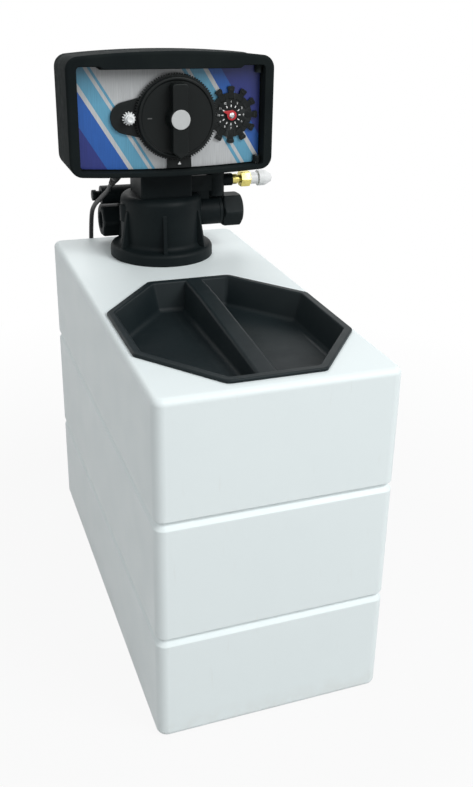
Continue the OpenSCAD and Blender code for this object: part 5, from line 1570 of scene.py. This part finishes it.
@dataclass
class DayWheel:
    """Day wheel with its twelve tabs, marks, numbers, pointer and screw."""

    wheel_r: float = 24.0
    tab_w: float = 6.0
    tab_root: float = 17.5
    tab_tip: float = 30.85
    flare: float = 1.2
    ledge_rs: Point = (4.6, 2.6)
    ledge_half: float = 2.2
    ledge_h: float = 0.5
    count: int = 12
    number_height: float = 3.2
    number_r: float = 14.4
    dash_rs: Point = (8.6, 11.2)

    def build(self) -> None:
        """Makes the wheel's pieces."""
        ease_node("slotted_day_wheel", "day_wheel", 0.3, DIAL_PLASTIC)
        for day in range(1, self.count + 1):
            self.tab(day)
        self.dashes()
        self.numbers()
        ease_node("red_pointer", "day_pointer", 0.35, POINTER_PLASTIC)
        head = Span.of("wheel_screw")
        seat = Span.of("day_pointer").low.y
        screw = cross_head(head.mid.x, head.mid.z, head.size.x / 2, seat, head.low.y)
        add_piece("pointer_screw", screw, STEEL_METAL, ["wheel_screw"])

    def angle(self, day: float) -> float:
        """Angle of a day round the wheel, in radians from the x axis."""
        return math.pi / 2 - 2 * math.pi * (day - 1) / self.count

    def placed(self, shape: Shape, day: float) -> Shape:
        """Turns a shape that lies along the x axis to its day on the wheel."""
        mid = Span.of("day_wheel").mid
        spot = Matrix.Translation((mid.x, 0, mid.z)) @ Matrix.Rotation(-self.angle(day), 4, "Y")
        bmesh.ops.transform(shape, matrix=spot, verts=shape.verts)
        return shape

    def tab(self, day: int) -> None:
        """Makes one day's tab with its raised nail ledge."""
        node = f"day_tab_{day:02d}"
        span = Span.of(node)
        half = self.tab_w / 2
        tip, wide = self.tab_tip, half + self.flare
        outline = eased([(self.tab_root, -half, 0.3), (self.wheel_r + 0.5, -half, 1), (tip - 1.5, -wide, 1.2),
                         (tip, -half, 1), (tip, half, 1), (tip - 1.5, wide, 1.2), (self.wheel_r + 0.5, half, 1),
                         (self.tab_root, half, 0.3)], 4)
        body = plate(outline, span.low.y, span.high.y, 0.35, 2)
        near, far = (tip - part for part in self.ledge_rs)
        ledge = block((near, span.low.y - self.ledge_h, -self.ledge_half),
                      (far, span.low.y + self.ledge_h, self.ledge_half), 0.35, 2)
        add_piece(f"pull_tab_{day:02d}", self.placed(combine([body, ledge]), day), DIAL_PLASTIC, [node])

    def dashes(self) -> None:
        """Makes the ring of white dashes round the pointer."""
        front = Span.of("day_wheel").low.y
        near, far = self.dash_rs
        dash = eased([(near, -0.55, 0.4), (far, -0.55, 0.4), (far, 0.55, 0.4), (near, 0.55, 0.4)], 3)
        marks = [self.placed(plate(dash, front - 0.12, front + 0.2, 0.05, 1), day)
                 for day in range(1, self.count + 1)]
        add_piece("wheel_dashes", together(marks), CAP_PLASTIC, [], body_of("day_wheel"))

    def numbers(self) -> None:
        """Makes the plain numbers of the days."""
        wheel = Span.of("day_wheel")
        shapes = []
        for day in range(1, self.count + 1):
            curve = bpy.data.curves.new("number", "FONT")
            curve.body = str(day)
            curve.size = self.number_height
            curve.align_x, curve.align_y = "CENTER", "CENTER"
            curve.extrude = 0.15
            written = link("number", curve)
            shape = as_shown(written)
            bpy.data.objects.remove(written)
            bpy.data.curves.remove(curve)
            turn = self.angle(day)
            spot = Matrix.Translation((wheel.mid.x + self.number_r * math.cos(turn), wheel.low.y,
                                       wheel.mid.z + self.number_r * math.sin(turn)))
            bmesh.ops.transform(shape, matrix=spot @ Matrix.Rotation(math.pi / 2, 4, "X"), verts=shape.verts)
            shapes.append(shape)
        add_piece("day_numbers", together(shapes), CAP_PLASTIC, [], body_of("day_wheel"))


@dataclass
class Insides:
    """Pieces inside the cabinet, the valve and the head, dressed as they are."""

    finishes: tuple[tuple[str, Finish], ...] = (
        ("resin_tank", VESSEL_SHELL), ("riser_tube", INNER_PLASTIC), ("strainers", INNER_PLASTIC),
        ("salt_grid", INNER_PLASTIC), ("brine_well", INNER_PLASTIC), ("brine_pickup", INNER_PLASTIC),
        ("brine_float", CAP_PLASTIC), ("seal_spacers", INNER_PLASTIC), ("piston_seals", SEAL_RUBBER),
        ("piston", STEEL_METAL), ("main_gear", INNER_PLASTIC), ("drive_motor", STEEL_METAL),
        ("motor_pinion", INNER_PLASTIC), ("timer_motor", STEEL_METAL), ("program_wheel", INNER_PLASTIC))

    def build(self) -> None:
        """Dresses each piece."""
        for node, finish in self.finishes:
            dress_node(node, finish)


def main() -> None:
    """Builds the stage and every sub-assembly in order."""
    logging.basicConfig(level=logging.INFO, format="%(name)s: %(message)s")
    for part in (Studio(), MainsLead(), SaltCabinet(), ValveColumn(), BrineFitting(), TimerHead(), TimerFace(),
                 DayWheel(), Insides()):
        LOG.info("building %s", type(part).__name__)
        part.build()


if __name__ == "__main__":
    main()
